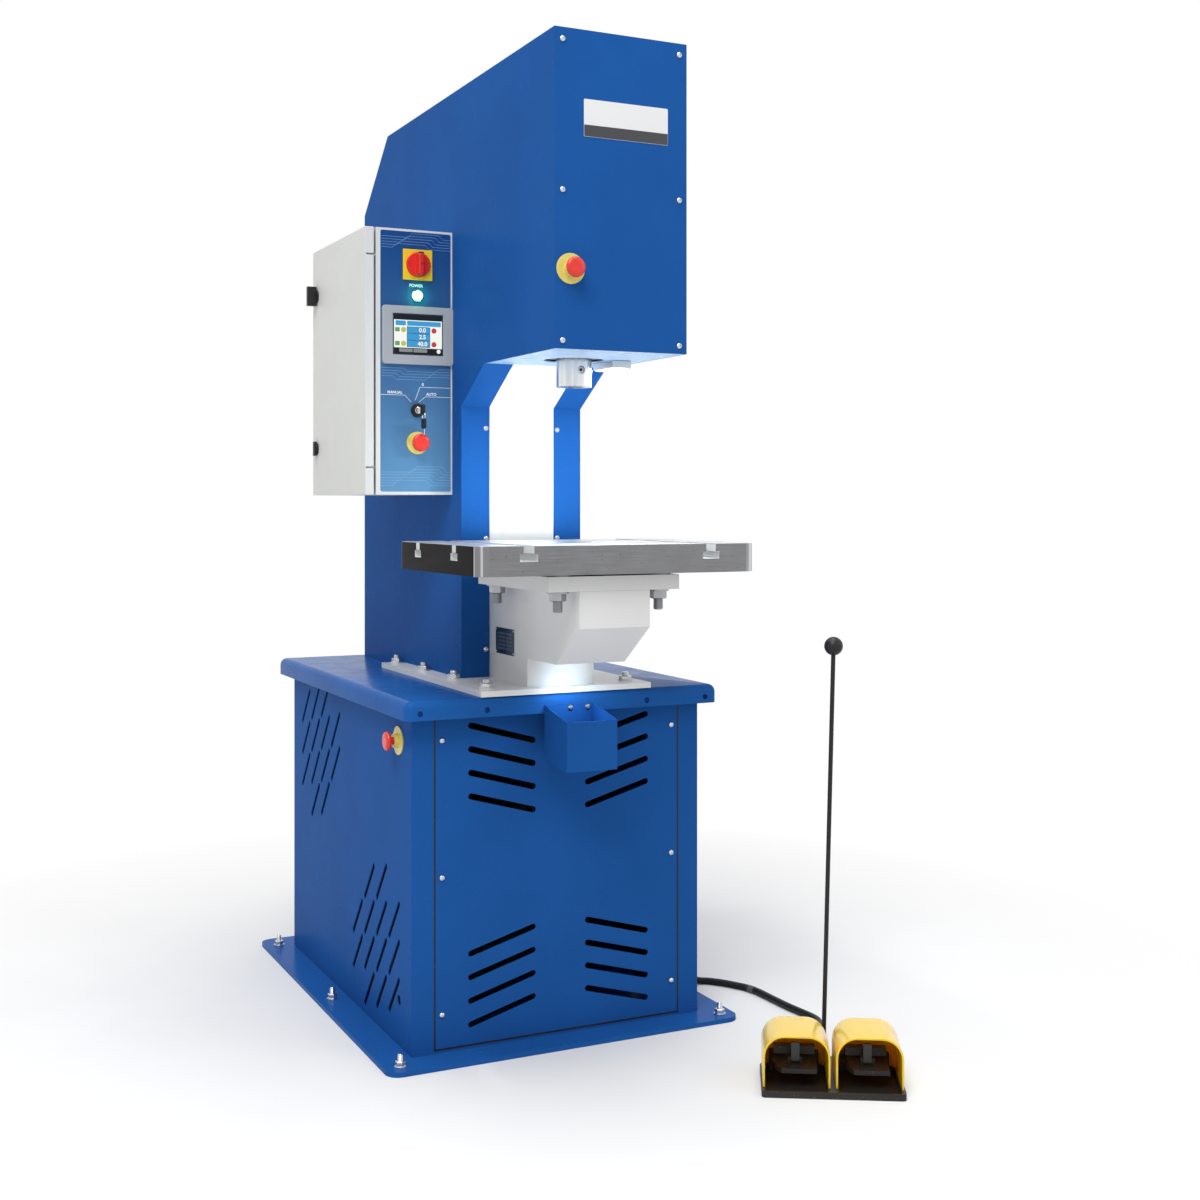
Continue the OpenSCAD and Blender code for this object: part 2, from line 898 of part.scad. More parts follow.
// Side wall and floor of the box that catches what is pressed out
module catch_box() {
    y1 = tray_y0;
    y0 = y1 - catch_d;
    slope = (catch_back_z - catch_front_z) / catch_d;
    inner_y0 = y0 + catch_sheet;
    inner_y1 = y1 - catch_sheet;
    color(blue)
        difference() {
            side_profile(-catch_w / 2, catch_w / 2,
                         [[y0, catch_z0], [y1, catch_z0 + 9], [y1, catch_back_z], [y0, catch_front_z]]);
            side_profile(-catch_w / 2 + catch_sheet, catch_w / 2 - catch_sheet,
                         [[inner_y0, catch_z0 + catch_sheet + 1], [inner_y1, catch_z0 + catch_sheet + 9],
                          [inner_y1, catch_back_z + slope * catch_d],
                          [inner_y0, catch_back_z + slope * catch_d]]);
            for (x = catch_screw_x)
                translate([x, y1 + eps, 0]) to_front()
                    slot_bar([0, catch_screw_z - 5], [0, catch_screw_z + 3], catch_slot_w,
                             catch_sheet + 2 * eps);
        }
}

// Frame

module foot_flange() {
    color(white)
        difference() {
            span([-flange_w / 2, flange_y0, tray_top_z], [flange_w / 2, flange_y1, flange_top]);
            flange_bolt_places() translate([0, 0, -flange_t - eps])
                cylinder(d = flange_bolt_d + 1, h = flange_t + 2 * eps);
        }
}

module flange_bolt_places() {
    for (sx = [-1, 1], y = flange_bolt_y) translate([sx * flange_bolt_x, y, flange_top]) children();
}

module flange_bolts() {
    color(zinc)
        flange_bolt_places() {
            cylinder(d = 1.9 * flange_bolt_d, h = flange_washer_t);
            translate([0, 0, flange_washer_t]) hexagon(1.5 * flange_bolt_d, flange_bolt_d);
            translate([0, 0, -flange_t]) cylinder(d = flange_bolt_d, h = flange_t + flange_bolt_d / 2);
        }
}

// Screws of the covers and bolts of the foot flange, one solid each
module frame_fasteners() {
    cover_screws();
    flange_bolts();
}

nose_angle = atan2(nose_run, nose_rise);
nose_miter = tan(nose_angle / 2);
throat_angle = atan2(throat_run, throat_drop);
throat_miter = tan(throat_angle / 2);
arm_run = throat_y - block_back;
arm_front_z = throat_z + throat_drop * arm_run / throat_run;
nose_cut = nose_t * norm([nose_run, nose_rise]) / nose_rise;

frame_outline = [
    [neck_y + deflector_bulge + deflector_t + 1, flange_top], [spine_y, flange_top],
    [spine_y, plate_top], [block_back, plate_top], [block_back, arm_front_z],
    [throat_y, throat_z], [throat_y, arm_top], [nose_y + nose_t, arm_top],
    [nose_y + nose_t, nose_z + nose_t * nose_miter],
    [nose_y + nose_run + nose_cut, arm_bottom],
    [neck_y + deflector_bulge + deflector_t + 1, arm_bottom]
];

module frame_plate(side) {
    low = side < 0 ? -frame_x : web_x;
    difference() {
        union() {
            side_profile(low, low + plate_t, frame_outline);
            for (z = strip_screw_z)
                translate([side * (frame_x + lug_w / 2), throat_y + cover_t + lug_d / 2, z])
                    cube([lug_w, lug_d, lug_d], center = true);
        }
        strip_screw_places() to_back() cylinder(d = screw_hole_d, h = 20);
    }
}

module frame_left_plate() {
    color(white) frame_plate(-1);
}

module frame_right_plate() {
    color(white) frame_plate(1);
}

module frame_webs() {
    color(white) {
        side_profile(-web_x, web_x, [
            [throat_y, arm_top], [throat_y, throat_z], [block_back, arm_front_z],
            [block_back, arm_front_z + web_t / sin(throat_angle)],
            [throat_y + web_t, throat_z + web_t * throat_miter], [throat_y + web_t, arm_top]
        ]);
        span([-web_x, spine_y - web_t, flange_top], [web_x, spine_y, plate_top]);
    }
}

module bed_nose() {
    color(white)
        side_profile(-frame_x, frame_x, [
            [nose_y, arm_top], [nose_y, nose_z], [nose_y + nose_run, arm_bottom],
            [nose_y + nose_run + nose_cut, arm_bottom],
            [nose_y + nose_t, nose_z + nose_t * nose_miter], [nose_y + nose_t, arm_top]
        ]);
}

module drop_deflector() {
    roll = (frame_x * frame_x + deflector_bulge * deflector_bulge) / (2 * deflector_bulge);
    color(white)
        intersection() {
            translate([0, neck_y + roll, flange_top]) difference() {
                cylinder(r = roll, h = neck_h, $fn = 96);
                translate([0, 0, -eps]) cylinder(r = roll - deflector_t, h = neck_h + 2 * eps, $fn = 96);
            }
            span([-frame_x, neck_y - eps, flange_top - eps],
                 [frame_x, neck_y + roll, arm_bottom + eps]);
        }
}

module stud_places() {
    for (sx = [-1, 1], y = stud_y) translate([sx * stud_x, y, 0]) children();
}

module bed_flange() {
    color(white)
        difference() {
            union() {
                span([-bed_w / 2, nose_y, arm_top], [bed_w / 2, nose_y + bed_d, bed_top]);
                stud_places() translate([0, 0, bed_top - eps]) cylinder(d = stud_pad_d, h = pad_h + eps);
            }
            translate([0, axis_y, arm_top - eps]) cylinder(d = table_bore, h = bed_t + 2 * eps);
            stud_places() translate([0, 0, arm_top - eps])
                cylinder(d = stud_d + 1, h = bed_t + pad_h + 2 * eps);
        }
}

// Undercut slot along Y through the middle of a block of some length, below z = 0
module tee_slot(len) {
    translate([-tslot_neck / 2, -len / 2, -tslot_neck_h]) cube([tslot_neck, len, tslot_neck_h + eps]);
    translate([-tslot_wide / 2, -len / 2, -tslot_neck_h - tslot_wide_h])
        cube([tslot_wide, len, tslot_wide_h]);
}

module table() {
    color(steel)
        difference() {
            translate([0, axis_y, table_bottom])
                linear_extrude(table_t) round_rect(table_w, table_d, table_r);
            translate([0, axis_y, table_bottom - eps]) cylinder(d = table_bore, h = table_t + 2 * eps);
            for (sx = [-1, 1]) translate([sx * tslot_x, axis_y, table_top]) tee_slot(table_d + 20);
            for (sy = [-1, 1])
                translate([0, axis_y + sy * tslot_y, table_top]) rotate([0, 0, 90]) tee_slot(table_w + 20);
            stud_places() translate([0, 0, table_bottom - eps])
                cylinder(d = stud_d + 2 * fit, h = stud_seat - table_bottom + eps);
        }
}

module table_studs() {
    color(zinc)
        stud_places() {
            translate([0, 0, stud_end]) cylinder(d = stud_d, h = stud_seat - stud_end);
            translate([0, 0, arm_top - stud_nut_h - stud_washer_t]) difference() {
                union() {
                    hexagon(1.5 * stud_d, stud_nut_h);
                    translate([0, 0, stud_nut_h]) cylinder(d = 2.2 * stud_d, h = stud_washer_t);
                }
                translate([0, 0, -eps])
                    cylinder(d = stud_d + 2 * fit, h = stud_nut_h + stud_washer_t + 2 * eps);
            }
        }
}

// Covers of the column and the head

cover_outline = [
    [head_y + cover_t, head_bottom], [throat_y - throat_run, head_bottom], [throat_y, throat_z],
    [throat_y, flange_top], [flange_y1, flange_top], [flange_y1, tray_top_z],
    [back_y, tray_top_z], [back_y, slope_z], [slope_y, head_top], [head_y + cover_t, head_top]
];

// Side cover of the right half, with its folds along the throat, the head's front and the back
module side_cover() {
    difference() {
        union() {
            side_profile(cover_in, cover_x, cover_outline);
            side_profile(strip_in, cover_in + eps, [
                [throat_y, flange_top], [throat_y, throat_z], [throat_y - throat_run, head_bottom],
                [throat_y - throat_run + cover_t / cos(throat_angle), head_bottom],
                [throat_y + cover_t, throat_z + cover_t * throat_miter], [throat_y + cover_t, flange_top]
            ]);
            span([cover_in - fold_w, head_y + cover_t, head_bottom + cover_t],
                 [cover_in + eps, head_y + 2 * cover_t, head_top - cover_t]);
            span([cover_in - fold_w, back_y - 2 * cover_t, tray_top_z],
                 [cover_in + eps, back_y - cover_t, slope_z - fold_w]);
        }
        strip_screw_places() to_back() cover_screw_hole();
        front_screw_places() to_back() cover_screw_hole();
        rear_screw_places() to_front() cover_screw_hole();
    }
}

// Screw hole through a cover and the fold behind it
module cover_screw_hole() {
    translate([0, 0, -eps]) cylinder(d = screw_hole_d, h = 2 * cover_t + 2 * eps);
}

module left_cover() {
    color(blue)
        difference() {
            mirror([1, 0, 0]) side_cover();
            translate(head_estop) to_back()
                cylinder(d = estop_thread_d + 2 * cover_t, h = 2 * cover_t + eps);
        }
}

module right_cover() {
    color(blue) side_cover();
}

module rear_cover() {
    slope_angle = atan2(slope_run, slope_drop);
    low_bend = cover_t * tan(slope_angle / 2);
    high_bend = cover_t * tan((90 - slope_angle) / 2);
    color(blue)
        difference() {
            side_profile(-cover_in, cover_in, [
                [back_y, tray_top_z], [back_y, slope_z], [slope_y, head_top],
                [head_y + cover_t, head_top], [head_y + cover_t, head_top - cover_t],
                [slope_y - high_bend, head_top - cover_t], [back_y - cover_t, slope_z - low_bend],
                [back_y - cover_t, tray_top_z]
            ]);
            rear_screw_places() to_front() cover_screw_hole();
        }
}

module head_front_cover() {
    color(blue)
        difference() {
            span([-cover_x, head_y, head_bottom], [cover_x, head_y + cover_t, head_top]);
            front_screw_places() to_back() cover_screw_hole();
            translate(head_estop) to_back() translate([0, 0, -eps])
                cylinder(d = device_hole_d, h = cover_t + 2 * eps);
        }
}

module head_bottom_cover() {
    miter = cover_t * throat_run / throat_drop;
    color(blue)
        difference() {
            side_profile(-cover_in, cover_in, [
                [head_y + cover_t, head_bottom], [throat_y - throat_run, head_bottom],
                [throat_y - throat_run - miter - parting, head_bottom + cover_t],
                [head_y + cover_t, head_bottom + cover_t]
            ]);
            translate([0, axis_y, head_bottom - eps])
                cylinder(d = ram_d + 2 * ram_room, h = cover_t + 2 * eps);
        }
}

// Cylinder and ram

module cylinder_block() {
    color(white)
        difference() {
            span([-block_w / 2, axis_y - block_w / 2, block_z],
                 [block_w / 2, block_back, block_z + block_h]);
            translate([0, axis_y, block_z - eps])
                cylinder(d = barrel_d + 2 * fit, h = block_h + 2 * eps);
        }
}

module cylinder_barrel() {
    color(steel)
        translate([0, axis_y, 0])
            difference() {
                translate([0, 0, block_z]) cylinder(d = barrel_d, h = barrel_top - block_z);
                translate([0, 0, block_z - eps]) cylinder(d = bore_d, h = barrel_in - block_z + eps);
            }
}

module cylinder_gland() {
    color(steel)
        translate([0, axis_y, 0])
            difference() {
                union() {
                    translate([0, 0, gland_z]) cylinder(d = barrel_d - 2 * gland_inset, h = gland_flange_t);
                    translate([0, 0, gland_z]) cylinder(d = bore_d - 2 * fit, h = gland_top - gland_z);
                }
                translate([0, 0, gland_z - eps])
                    cylinder(d = ram_d + 2 * fit, h = gland_top - gland_z + 2 * eps);
            }
}

module ram() {
    color(steel)
        translate([0, axis_y, 0])
            difference() {
                translate([0, 0, ram_z]) cylinder(d = ram_d, h = piston_z - ram_z);
                translate([0, 0, ram_z - eps]) cylinder(d = socket_d, h = socket_h + eps);
                translate([0, 0, ram_z + set_screw_rise]) to_front() cylinder(d = set_screw_d, h = ram_d);
            }
}

module ram_piston() {
    color(steel) translate([0, axis_y, piston_z]) cylinder(d = bore_d - 2 * fit, h = piston_h);
}

module work_lamp() {
    color(zinc)
        translate([ram_d / 2 + lamp_gap, axis_y - lamp_d / 2, head_bottom - lamp_h])
            cube([lamp_w, lamp_d, lamp_h]);
}

// Control cabinet

module cabinet_box() {
    color(pale_grey) {
        difference() {
            span([box_x0, box_y0, box_z0], [box_x1, box_y1, box_z1]);
            span([box_x0 + box_sheet, box_y0 + box_sheet, box_z0 + box_sheet],
                 [box_x1 - box_sheet, box_y1 - box_sheet, box_z1 - box_sheet]);
            span([box_x0 - eps, box_y0 + box_lip, box_z0 + box_lip],
                 [box_x0 + box_sheet + eps, box_y1 - box_lip, box_z1 - box_lip]);
            for (z = [main_switch_z, lamp_z, key_z, panel_estop_z])
                translate([panel_mid_x, box_y0 - eps, z]) to_back()
                    cylinder(d = device_hole_d, h = box_sheet + 2 * eps);
            translate([panel_mid_x, box_y0, hmi_z])
                cube([hmi_body_w + 2, 4 * box_sheet, hmi_body_h + 2], center = true);
        }
        for (z = hinge_z) {
            span([hinge_x - 4, hinge_y - 3.5, z - lug_h / 2], [box_x0 + eps, hinge_y + 6, z + lug_h / 2]);
            translate([hinge_x, hinge_y, z - hinge_pin_h / 2]) cylinder(d = hinge_pin_d, h = hinge_pin_h);
        }
    }
}

module door_latch_hole(z) {
    translate([door_x0 - eps, latch_y, z]) to_right() cylinder(d = latch_d + 2 * fit, h = 2 * box_sheet);
}

module cabinet_door() {
    color(pale_grey)
        difference() {
            union() {
                difference() {
                    span([door_x0, box_y0, box_z0], [door_x1, box_y1, box_z1]);
                    span([door_x0 + box_sheet, box_y0 + box_sheet, box_z0 + box_sheet],
                         [door_x1 + eps, box_y1 - box_sheet, box_z1 - box_sheet]);
                }
                for (z = hinge_z, dz = [-1.5 * lug_h - lug_play, 0.5 * lug_h + lug_play])
                    span([door_x0 + eps, box_y0 + eps, z + dz], [hinge_x + 5, hinge_y + 5, z + dz + lug_h]);
            }
            for (z = hinge_z) {
                translate([hinge_x, hinge_y, z - hinge_pin_h])
                    cylinder(d = hinge_pin_d + 2 * fit, h = 2 * hinge_pin_h);
                span([door_x0 + box_sheet, box_y0 - eps, z - lug_h / 2 - lug_play],
                     [door_x1 + eps, hinge_y, z + lug_h / 2 + lug_play]);
            }
            for (z = latch_z) door_latch_hole(z);
        }
}

// Shaft and cam of a latch, pointing along +Z out of the door
module latch_shaft() {
    translate([0, 0, -cam_in - cam_t]) cylinder(d = latch_d, h = cam_in + cam_t + 4);
    translate([-cam_tail, -cam_w / 2, -cam_in - cam_t]) cube([cam_len + cam_tail, cam_w, cam_t]);
}

module upper_latch() {
    color(black)
        translate([door_x0, latch_y, latch_z[1]]) to_left() {
            latch_shaft();
            translate([0, 0, knob_gap]) cylinder(d = wing_d, h = wing_t);
            translate([-wing_len / 2, -wing_w / 2, wing_t - eps]) cube([wing_len, wing_w, wing_h]);
        }
}

module lower_latch() {
    color(black)
        translate([door_x0, latch_y, latch_z[0]]) to_left() {
            latch_shaft();
            translate([0, 0, knob_gap]) cylinder(d = turn_d, h = turn_t);
            translate([-turn_len, -turn_w / 2, turn_t / 2]) cube([2 * turn_len, turn_w, turn_t]);
        }
}

module hmi_panel() {
    color("#b9bcc0")
        translate([panel_mid_x, box_y0, hmi_z]) {
            difference() {
                translate([-hmi_w / 2, -hmi_t, -hmi_h / 2]) cube([hmi_w, hmi_t, hmi_h]);
                translate([-screen_w / 2, -hmi_t - eps, screen_lift - screen_h / 2])
                    cube([screen_w, screen_deep + eps, screen_h]);
            }
            translate([-hmi_body_w / 2, -eps, -hmi_body_h / 2])
                cube([hmi_body_w, hmi_body_d + eps, hmi_body_h]);
        }
}

module main_switch_plate() {
    color(yellow)
        translate([panel_mid_x, box_y0, main_switch_z])
            difference() {
                union() {
                    translate([-switch_plate_w / 2, -switch_plate_t, -switch_plate_w / 2])
                        cube([switch_plate_w, switch_plate_t, switch_plate_w]);
                    translate([0, -eps, 0]) to_back()
                        cylinder(d = device_hole_d - 4 * fit, h = box_sheet + 2 * eps);
                    translate([-switch_body_w / 2, box_sheet, -switch_body_w / 2])
                        cube([switch_body_w, switch_body_d, switch_body_w]);
                }
                translate([0, -switch_plate_t - eps, 0]) to_back()
                    cylinder(d = switch_shaft_d + 2 * fit, h = switch_shaft_h + 2 * eps);
            }
}

module main_switch_knob() {
    color(red)
        translate([panel_mid_x, box_y0 - switch_plate_t, main_switch_z]) to_front() {
            translate([0, 0, -switch_shaft_h]) cylinder(d = switch_shaft_d, h = switch_shaft_h + eps);
            translate([0, 0, knob_gap]) cylinder(d = knob_d, h = knob_t);
            translate([-grip_w / 2, -grip_len / 2, grip_foot]) cube([grip_w, grip_len, grip_h]);
        }
}

module power_lamp() {
    color("#35c463")
        translate([panel_mid_x, box_y0, lamp_z]) to_front() {
            cylinder(d = lamp_ring_d, h = lamp_ring_h);
            translate([0, 0, lamp_ring_h]) cylinder(d1 = lens_d, d2 = lens_tip_d, h = lens_h);
            translate([0, 0, -lamp_back]) cylinder(d = estop_thread_d, h = lamp_back + eps);
        }
}

module key_switch_body() {
    color(black)
        translate([panel_mid_x, box_y0, key_z]) to_front()
            difference() {
                union() {
                    cylinder(d = key_body_d, h = key_body_h);
                    translate([0, 0, -key_back]) cylinder(d = estop_thread_d, h = key_back + eps);
                }
                translate([0, 0, -key_sink])
                    cylinder(d = key_d + 2 * fit, h = key_sink + key_body_h + eps);
            }
}

module switch_key() {
    color(black)
        translate([panel_mid_x, box_y0, key_z]) to_front() {
            translate([0, 0, key_play - key_sink])
                cylinder(d = key_d, h = key_sink - key_play + key_body_h + key_show);
            translate([-key_blade_t / 2, -key_blade_w / 2, key_body_h + key_show - eps])
                cube([key_blade_t, key_blade_w, key_bow_z - key_body_h - key_d / 2]);
            translate([-key_bow_t / 2, 0, key_bow_z]) to_right() cylinder(d = key_bow_d, h = key_bow_t);
        }
}

// Emergency stops, pointing along +Z with the mounting face at z = 0

module estop_base(disc_d, wall) {
    difference() {
        union() {
            cylinder(d = disc_d, h = estop_disc_t);
            cylinder(d = estop_collar_d, h = estop_collar_h);
            translate([0, 0, -wall - estop_thread_h])
                cylinder(d = estop_thread_d, h = wall + estop_thread_h + eps);
            translate([-estop_block / 2, -estop_block / 2, -wall - estop_thread_h - estop_block + 2 * eps])
                cube(estop_block);
        }
        translate([0, 0, estop_disc_t / 2]) cylinder(d = estop_stem_d + 2 * fit, h = estop_collar_h);
    }
}

module estop_cap() {
    rise = estop_face - estop_cap_z;
    translate([0, 0, estop_stem_z]) cylinder(d = estop_stem_d, h = estop_cap_z - estop_stem_z + eps);
    translate([0, 0, estop_cap_z]) cylinder(d1 = estop_cap_d - 6, d2 = estop_cap_d, h = rise * 0.3);
    translate([0, 0, estop_cap_z + rise * 0.3]) cylinder(d = estop_cap_d, h = rise * 0.35);
    translate([0, 0, estop_cap_z + rise * 0.65])
        cylinder(d1 = estop_cap_d, d2 = estop_cap_d - 10, h = rise * 0.35);
}

module at_head_estop() {
    translate(head_estop) to_front() children();
}

module at_panel_estop() {
    translate(panel_estop) to_front() children();
}

module at_left_estop() {
    translate([-cab_x, side_estop_y, side_estop_z]) to_left() children();
}

module at_right_estop() {
    translate([cab_x, side_estop_y, side_estop_z]) to_right() children();
}

module estop_bases() {
    color(yellow) {
        at_head_estop() estop_base(estop_disc_d, cover_t);
        at_panel_estop() estop_base(panel_disc_d, box_sheet);
        at_left_estop() estop_base(estop_disc_d, cab_sheet);
        at_right_estop() estop_base(estop_disc_d, cab_sheet);
    }
}

module head_estop_cap() {
    color(red) at_head_estop() estop_cap();
}

module panel_estop_cap() {
    color(red) at_panel_estop() estop_cap();
}

module left_estop_cap() {
    color(red) at_left_estop() estop_cap();
}

module right_estop_cap() {
    color(red) at_right_estop() estop_cap();
}

// Mounting plate with its rails, contactors, controller and terminals
module control_gear() {
    plate_x = box_x1 - box_sheet - gear_stand;
    y0 = box_y0 + gear_front;
    y1 = box_y1 - gear_inset;
    first = box_z0 + gear_foot;
    row_pitch = (box_h - gear_foot - gear_head) / 2;
    color("#e8e6df") {
        span([plate_x - gear_t, y0, box_z0 + gear_edge], [plate_x, y1, box_z1 - gear_edge]);
        for (y = [y0 + gear_inset, y1 - gear_inset],
             z = [box_z0 + gear_edge + gear_inset, box_z1 - gear_edge - gear_inset])
            translate([plate_x - eps, y, z]) to_right() cylinder(d = gear_post_d, h = gear_stand + eps);
        for (row = [0:2]) {
            z = first + row * row_pitch;
            span([plate_x - gear_t - rail_t, y0 + rail_inset, z - rail_h / 2],
                 [plate_x - gear_t - parting, y1 - rail_inset, z + rail_h / 2]);
            for (k = [0:4]) {
                y = y0 + gear_inset + k * gear_pitch;
                span([plate_x - gear_d + row * gear_shrink_d, y, z - gear_h / 2],
                     [plate_x - gear_t - rail_t - parting, y + gear_w - row * gear_shrink_w,
                      z + gear_h / 2]);
            }
        }
    }
}

// Hydraulic unit inside the base

module oil_tank() {
    inner = tank - [2 * tank_wall, 2 * tank_wall, 0];
    color("#3c4248") {
        translate(tank_at) difference() {
            cube(tank);
            translate([tank_wall, tank_wall, tank_wall]) cube(inner);
        }
        translate([tank_at[0], tank_at[1], lid_z - lid_t + parting]) difference() {
            cube([tank[0], tank[1], lid_t - parting]);
            translate([motor_at[0] - tank_at[0], motor_at[1] - tank_at[1], -eps])
                cylinder(d = shaft_d + 12, h = lid_t + 2 * eps);
        }
    }
}

module pump_motor() {
    color("#4a545c")
        translate([motor_at[0], motor_at[1], lid_z])
            difference() {
                union() {
                    cylinder(d = motor_d, h = motor_h);
                    for (k = [0:23]) rotate([0, 0, k * 15])
                        translate([motor_d / 2 - fin_sink, -fin_t / 2, winding_z])
                            cube([fin_sink + fin_out, fin_t, winding_h]);
                }
                translate([0, 0, winding_z]) cylinder(d = rotor_d + 2 * rotor_gap, h = winding_h);
                translate([0, 0, -eps]) cylinder(d = shaft_d + 2 * fit, h = fan_z + 2 * eps);
                translate([0, 0, fan_z]) cylinder(d = fan_d + 2 * fan_gap, h = fan_room);
            }
}

module motor_rotor() {
    color(steel)
        translate([motor_at[0], motor_at[1], lid_z]) {
            translate([0, 0, -shaft_drop]) cylinder(d = shaft_d, h = shaft_drop + shaft_h);
            translate([0, 0, winding_z + rotor_end]) cylinder(d = rotor_d, h = winding_h - 2 * rotor_end);
            translate([0, 0, fan_z + fan_gap]) cylinder(d = fan_d, h = fan_t);
        }
}

module gear_pump() {
    color("#7b8187")
        translate([motor_at[0], motor_at[1], lid_z - lid_t - pump_h])
            difference() {
                cylinder(d = pump_d, h = pump_h);
                translate([0, 0, pump_h - shaft_drop])
                    cylinder(d = shaft_d + 2 * fit, h = shaft_drop + eps);
            }
}

module valve_block() {
    color("#9aa0a5")
        translate([valve_at[0], valve_at[1], lid_z]) {
            cube(valve);
            for (side = [-1, 1])
                translate([(valve[0] + side * coil_pitch) / 2, 0, valve[2] / 2]) to_front() {
                    cylinder(d = coil_d, h = coil_h);
                    translate([0, 0, coil_h]) cylinder(d = coil_tip_d, h = coil_tip_h);
                }
        }
}

// Straight pipe between two points on a line along X, Y or Z, with a ball fitting at its far end
module pipe_run(a, b) {
    run = b - a;
    translate(a) rotate([0, acos(run[2] / norm(run)), atan2(run[1], run[0])])
        cylinder(d = pipe_d, h = norm(run));
}

module pipe_line(points) {
    last = len(points) - 1;
    for (k = [0:last - 1]) pipe_run(points[k], points[k + 1]);
    for (k = [1:last - 1]) translate(points[k]) sphere(d = elbow_d);
}

module pressure_pipes() {
    start_z = lid_z + valve[2];
    color(zinc) {
        pipe_line([[pipe_x[0], pipe_y, start_z], [pipe_x[0], pipe_y, pipe_top],
                   [pipe_x[0], axis_y, pipe_top], [pipe_x[0], axis_y, barrel_top]]);
        pipe_line([[pipe_x[1], pipe_y, start_z], [pipe_x[1], pipe_y, pipe_top],
                   [pipe_x[1], pipe_drop_y, pipe_top], [pipe_x[1], pipe_drop_y, pipe_port_z],
                   [pipe_x[1], block_back, pipe_port_z]]);
    }
}

// Foot switch

module cable_glands() {
    color(black) {
        translate(wall_gland) to_right() difference() {
            union() {
                hexagon(gland_flats, gland_nut_h);
                translate([0, 0, gland_nut_h]) cylinder(d = gland_d, h = gland_len - gland_nut_h);
                translate([0, 0, -cab_sheet - gland_tail])
                    cylinder(d = hose_d + 3, h = cab_sheet + gland_tail + eps);
            }
            translate([0, 0, -2 * gland_len]) cylinder(d = hose_bore, h = 4 * gland_len);
        }
        on_foot_switch() translate([0, foot_d + tongue_d, hose_d / 2]) to_back()
            cylinder(d = hose_d, h = foot_gland_len);
    }
}

// Points along a smooth curve through the route's points
function hermite(a, b, c, d, t) =
    0.5 * (2 * b + (c - a) * t + (2 * a - 5 * b + 4 * c - d) * t * t
           + (3 * b - a - 3 * c + d) * t * t * t);
function smooth_route(r, steps) = [
    for (k = [0:len(r) - 2], s = [0:steps - 1])
        hermite(k == 0 ? 2 * r[0] - r[1] : r[k - 1], r[k], r[k + 1],
                k == len(r) - 2 ? 2 * r[k + 1] - r[k] : r[k + 2], s / steps),
    r[len(r) - 1]
];
function run_lengths(p, k = 0, total = 0) =
    k == len(p) - 1 ? [total] : concat([total], run_lengths(p, k + 1, total + norm(p[k + 1] - p[k])));
function at_length(p, along, s, k = 0) =
    k >= len(p) - 2 || along[k + 1] >= s
        ? p[k] + (p[k + 1] - p[k]) * (s - along[k]) / (along[k + 1] - along[k])
        : at_length(p, along, s, k + 1);
function unit(v) = v / norm(v);
function ring(at, dir, r, sides) = let (
        side = unit(cross(dir, [0, 0, 1])),
        up = cross(side, dir)
    ) [for (a = [0:sides - 1]) at + r * (cos(360 * a / sides) * side + sin(360 * a / sides) * up)];
function direction(p, along, s, total) =
    unit(at_length(p, along, min(s + 2, total)) - at_length(p, along, max(s - 2, 0)));

// Quads between two rings of points, as triangles
function band(a, b, sides) = [
    for (k = [0:sides - 1]) let (n = (k + 1) % sides)
        each [[a + k, b + k, b + n], [a + k, b + n, a + n]]
];

// Ribbed tube with a bore along a route
module ribbed_tube(route, d, bore, pitch, depth, sides) {
    path = smooth_route(route, 8);
    along = run_lengths(path);
    total = along[len(along) - 1];
    ribs = floor((total - 2 * d) / pitch);
    first = (total - ribs * pitch) / 2;
    edges = [for (k = [0:ribs - 1]) each [first + (k + 0.25) * pitch, first + (k + 0.75) * pitch]];
    stations = concat([0], edges, [total]);
    last = len(stations) - 1;
    outer = [for (k = [0:last])
        let (low = k > 0 && k < last && k % 2 == 0)
        each ring(at_length(path, along, stations[k]), direction(path, along, stations[k], total),
                  d / 2 - (low ? depth : 0), sides)];
    inner = [for (k = [0:last])
        each ring(at_length(path, along, stations[k]), direction(path, along, stations[k], total),
                  bore / 2, sides)];
    count = sides * (last + 1);
    faces = concat(
        [for (k = [0:last - 1]) each band(k * sides, (k + 1) * sides, sides)],
        [for (k = [0:last - 1]) each band(count + (k + 1) * sides, count + k * sides, sides)],
        band(count, 0, sides),
        band(last * sides, count + last * sides, sides));
    polyhedron(concat(outer, inner), faces, convexity = 10);
}

// Plain tube along a route, closed at its ends
module plain_tube(route, d, sides) {
    path = smooth_route(route, 3);
    along = run_lengths(path);
    total = along[len(along) - 1];
    last = len(path) - 1;
    points = [for (k = [0:last])
        each ring(path[k], direction(path, along, along[k], total), d / 2, sides)];
    middle = len(points);
    faces = concat(
        [for (k = [0:last - 1]) each band(k * sides, (k + 1) * sides, sides)],
        [for (k = [0:sides - 1]) [middle, k, (k + 1) % sides]],
        [for (k = [0:sides - 1]) [middle + 1, last * sides + (k + 1) % sides, last * sides + k]]);
    polyhedron(concat(points, [path[0], path[last]]), faces, convexity = 10);
}

module foot_conduit() {
    color(black) ribbed_tube(conduit_route, hose_d, hose_bore, rib_pitch, rib_depth, rib_sides);
}

module foot_cable() {
    color(black) plain_tube(cable_route, hose_d, 10);
}

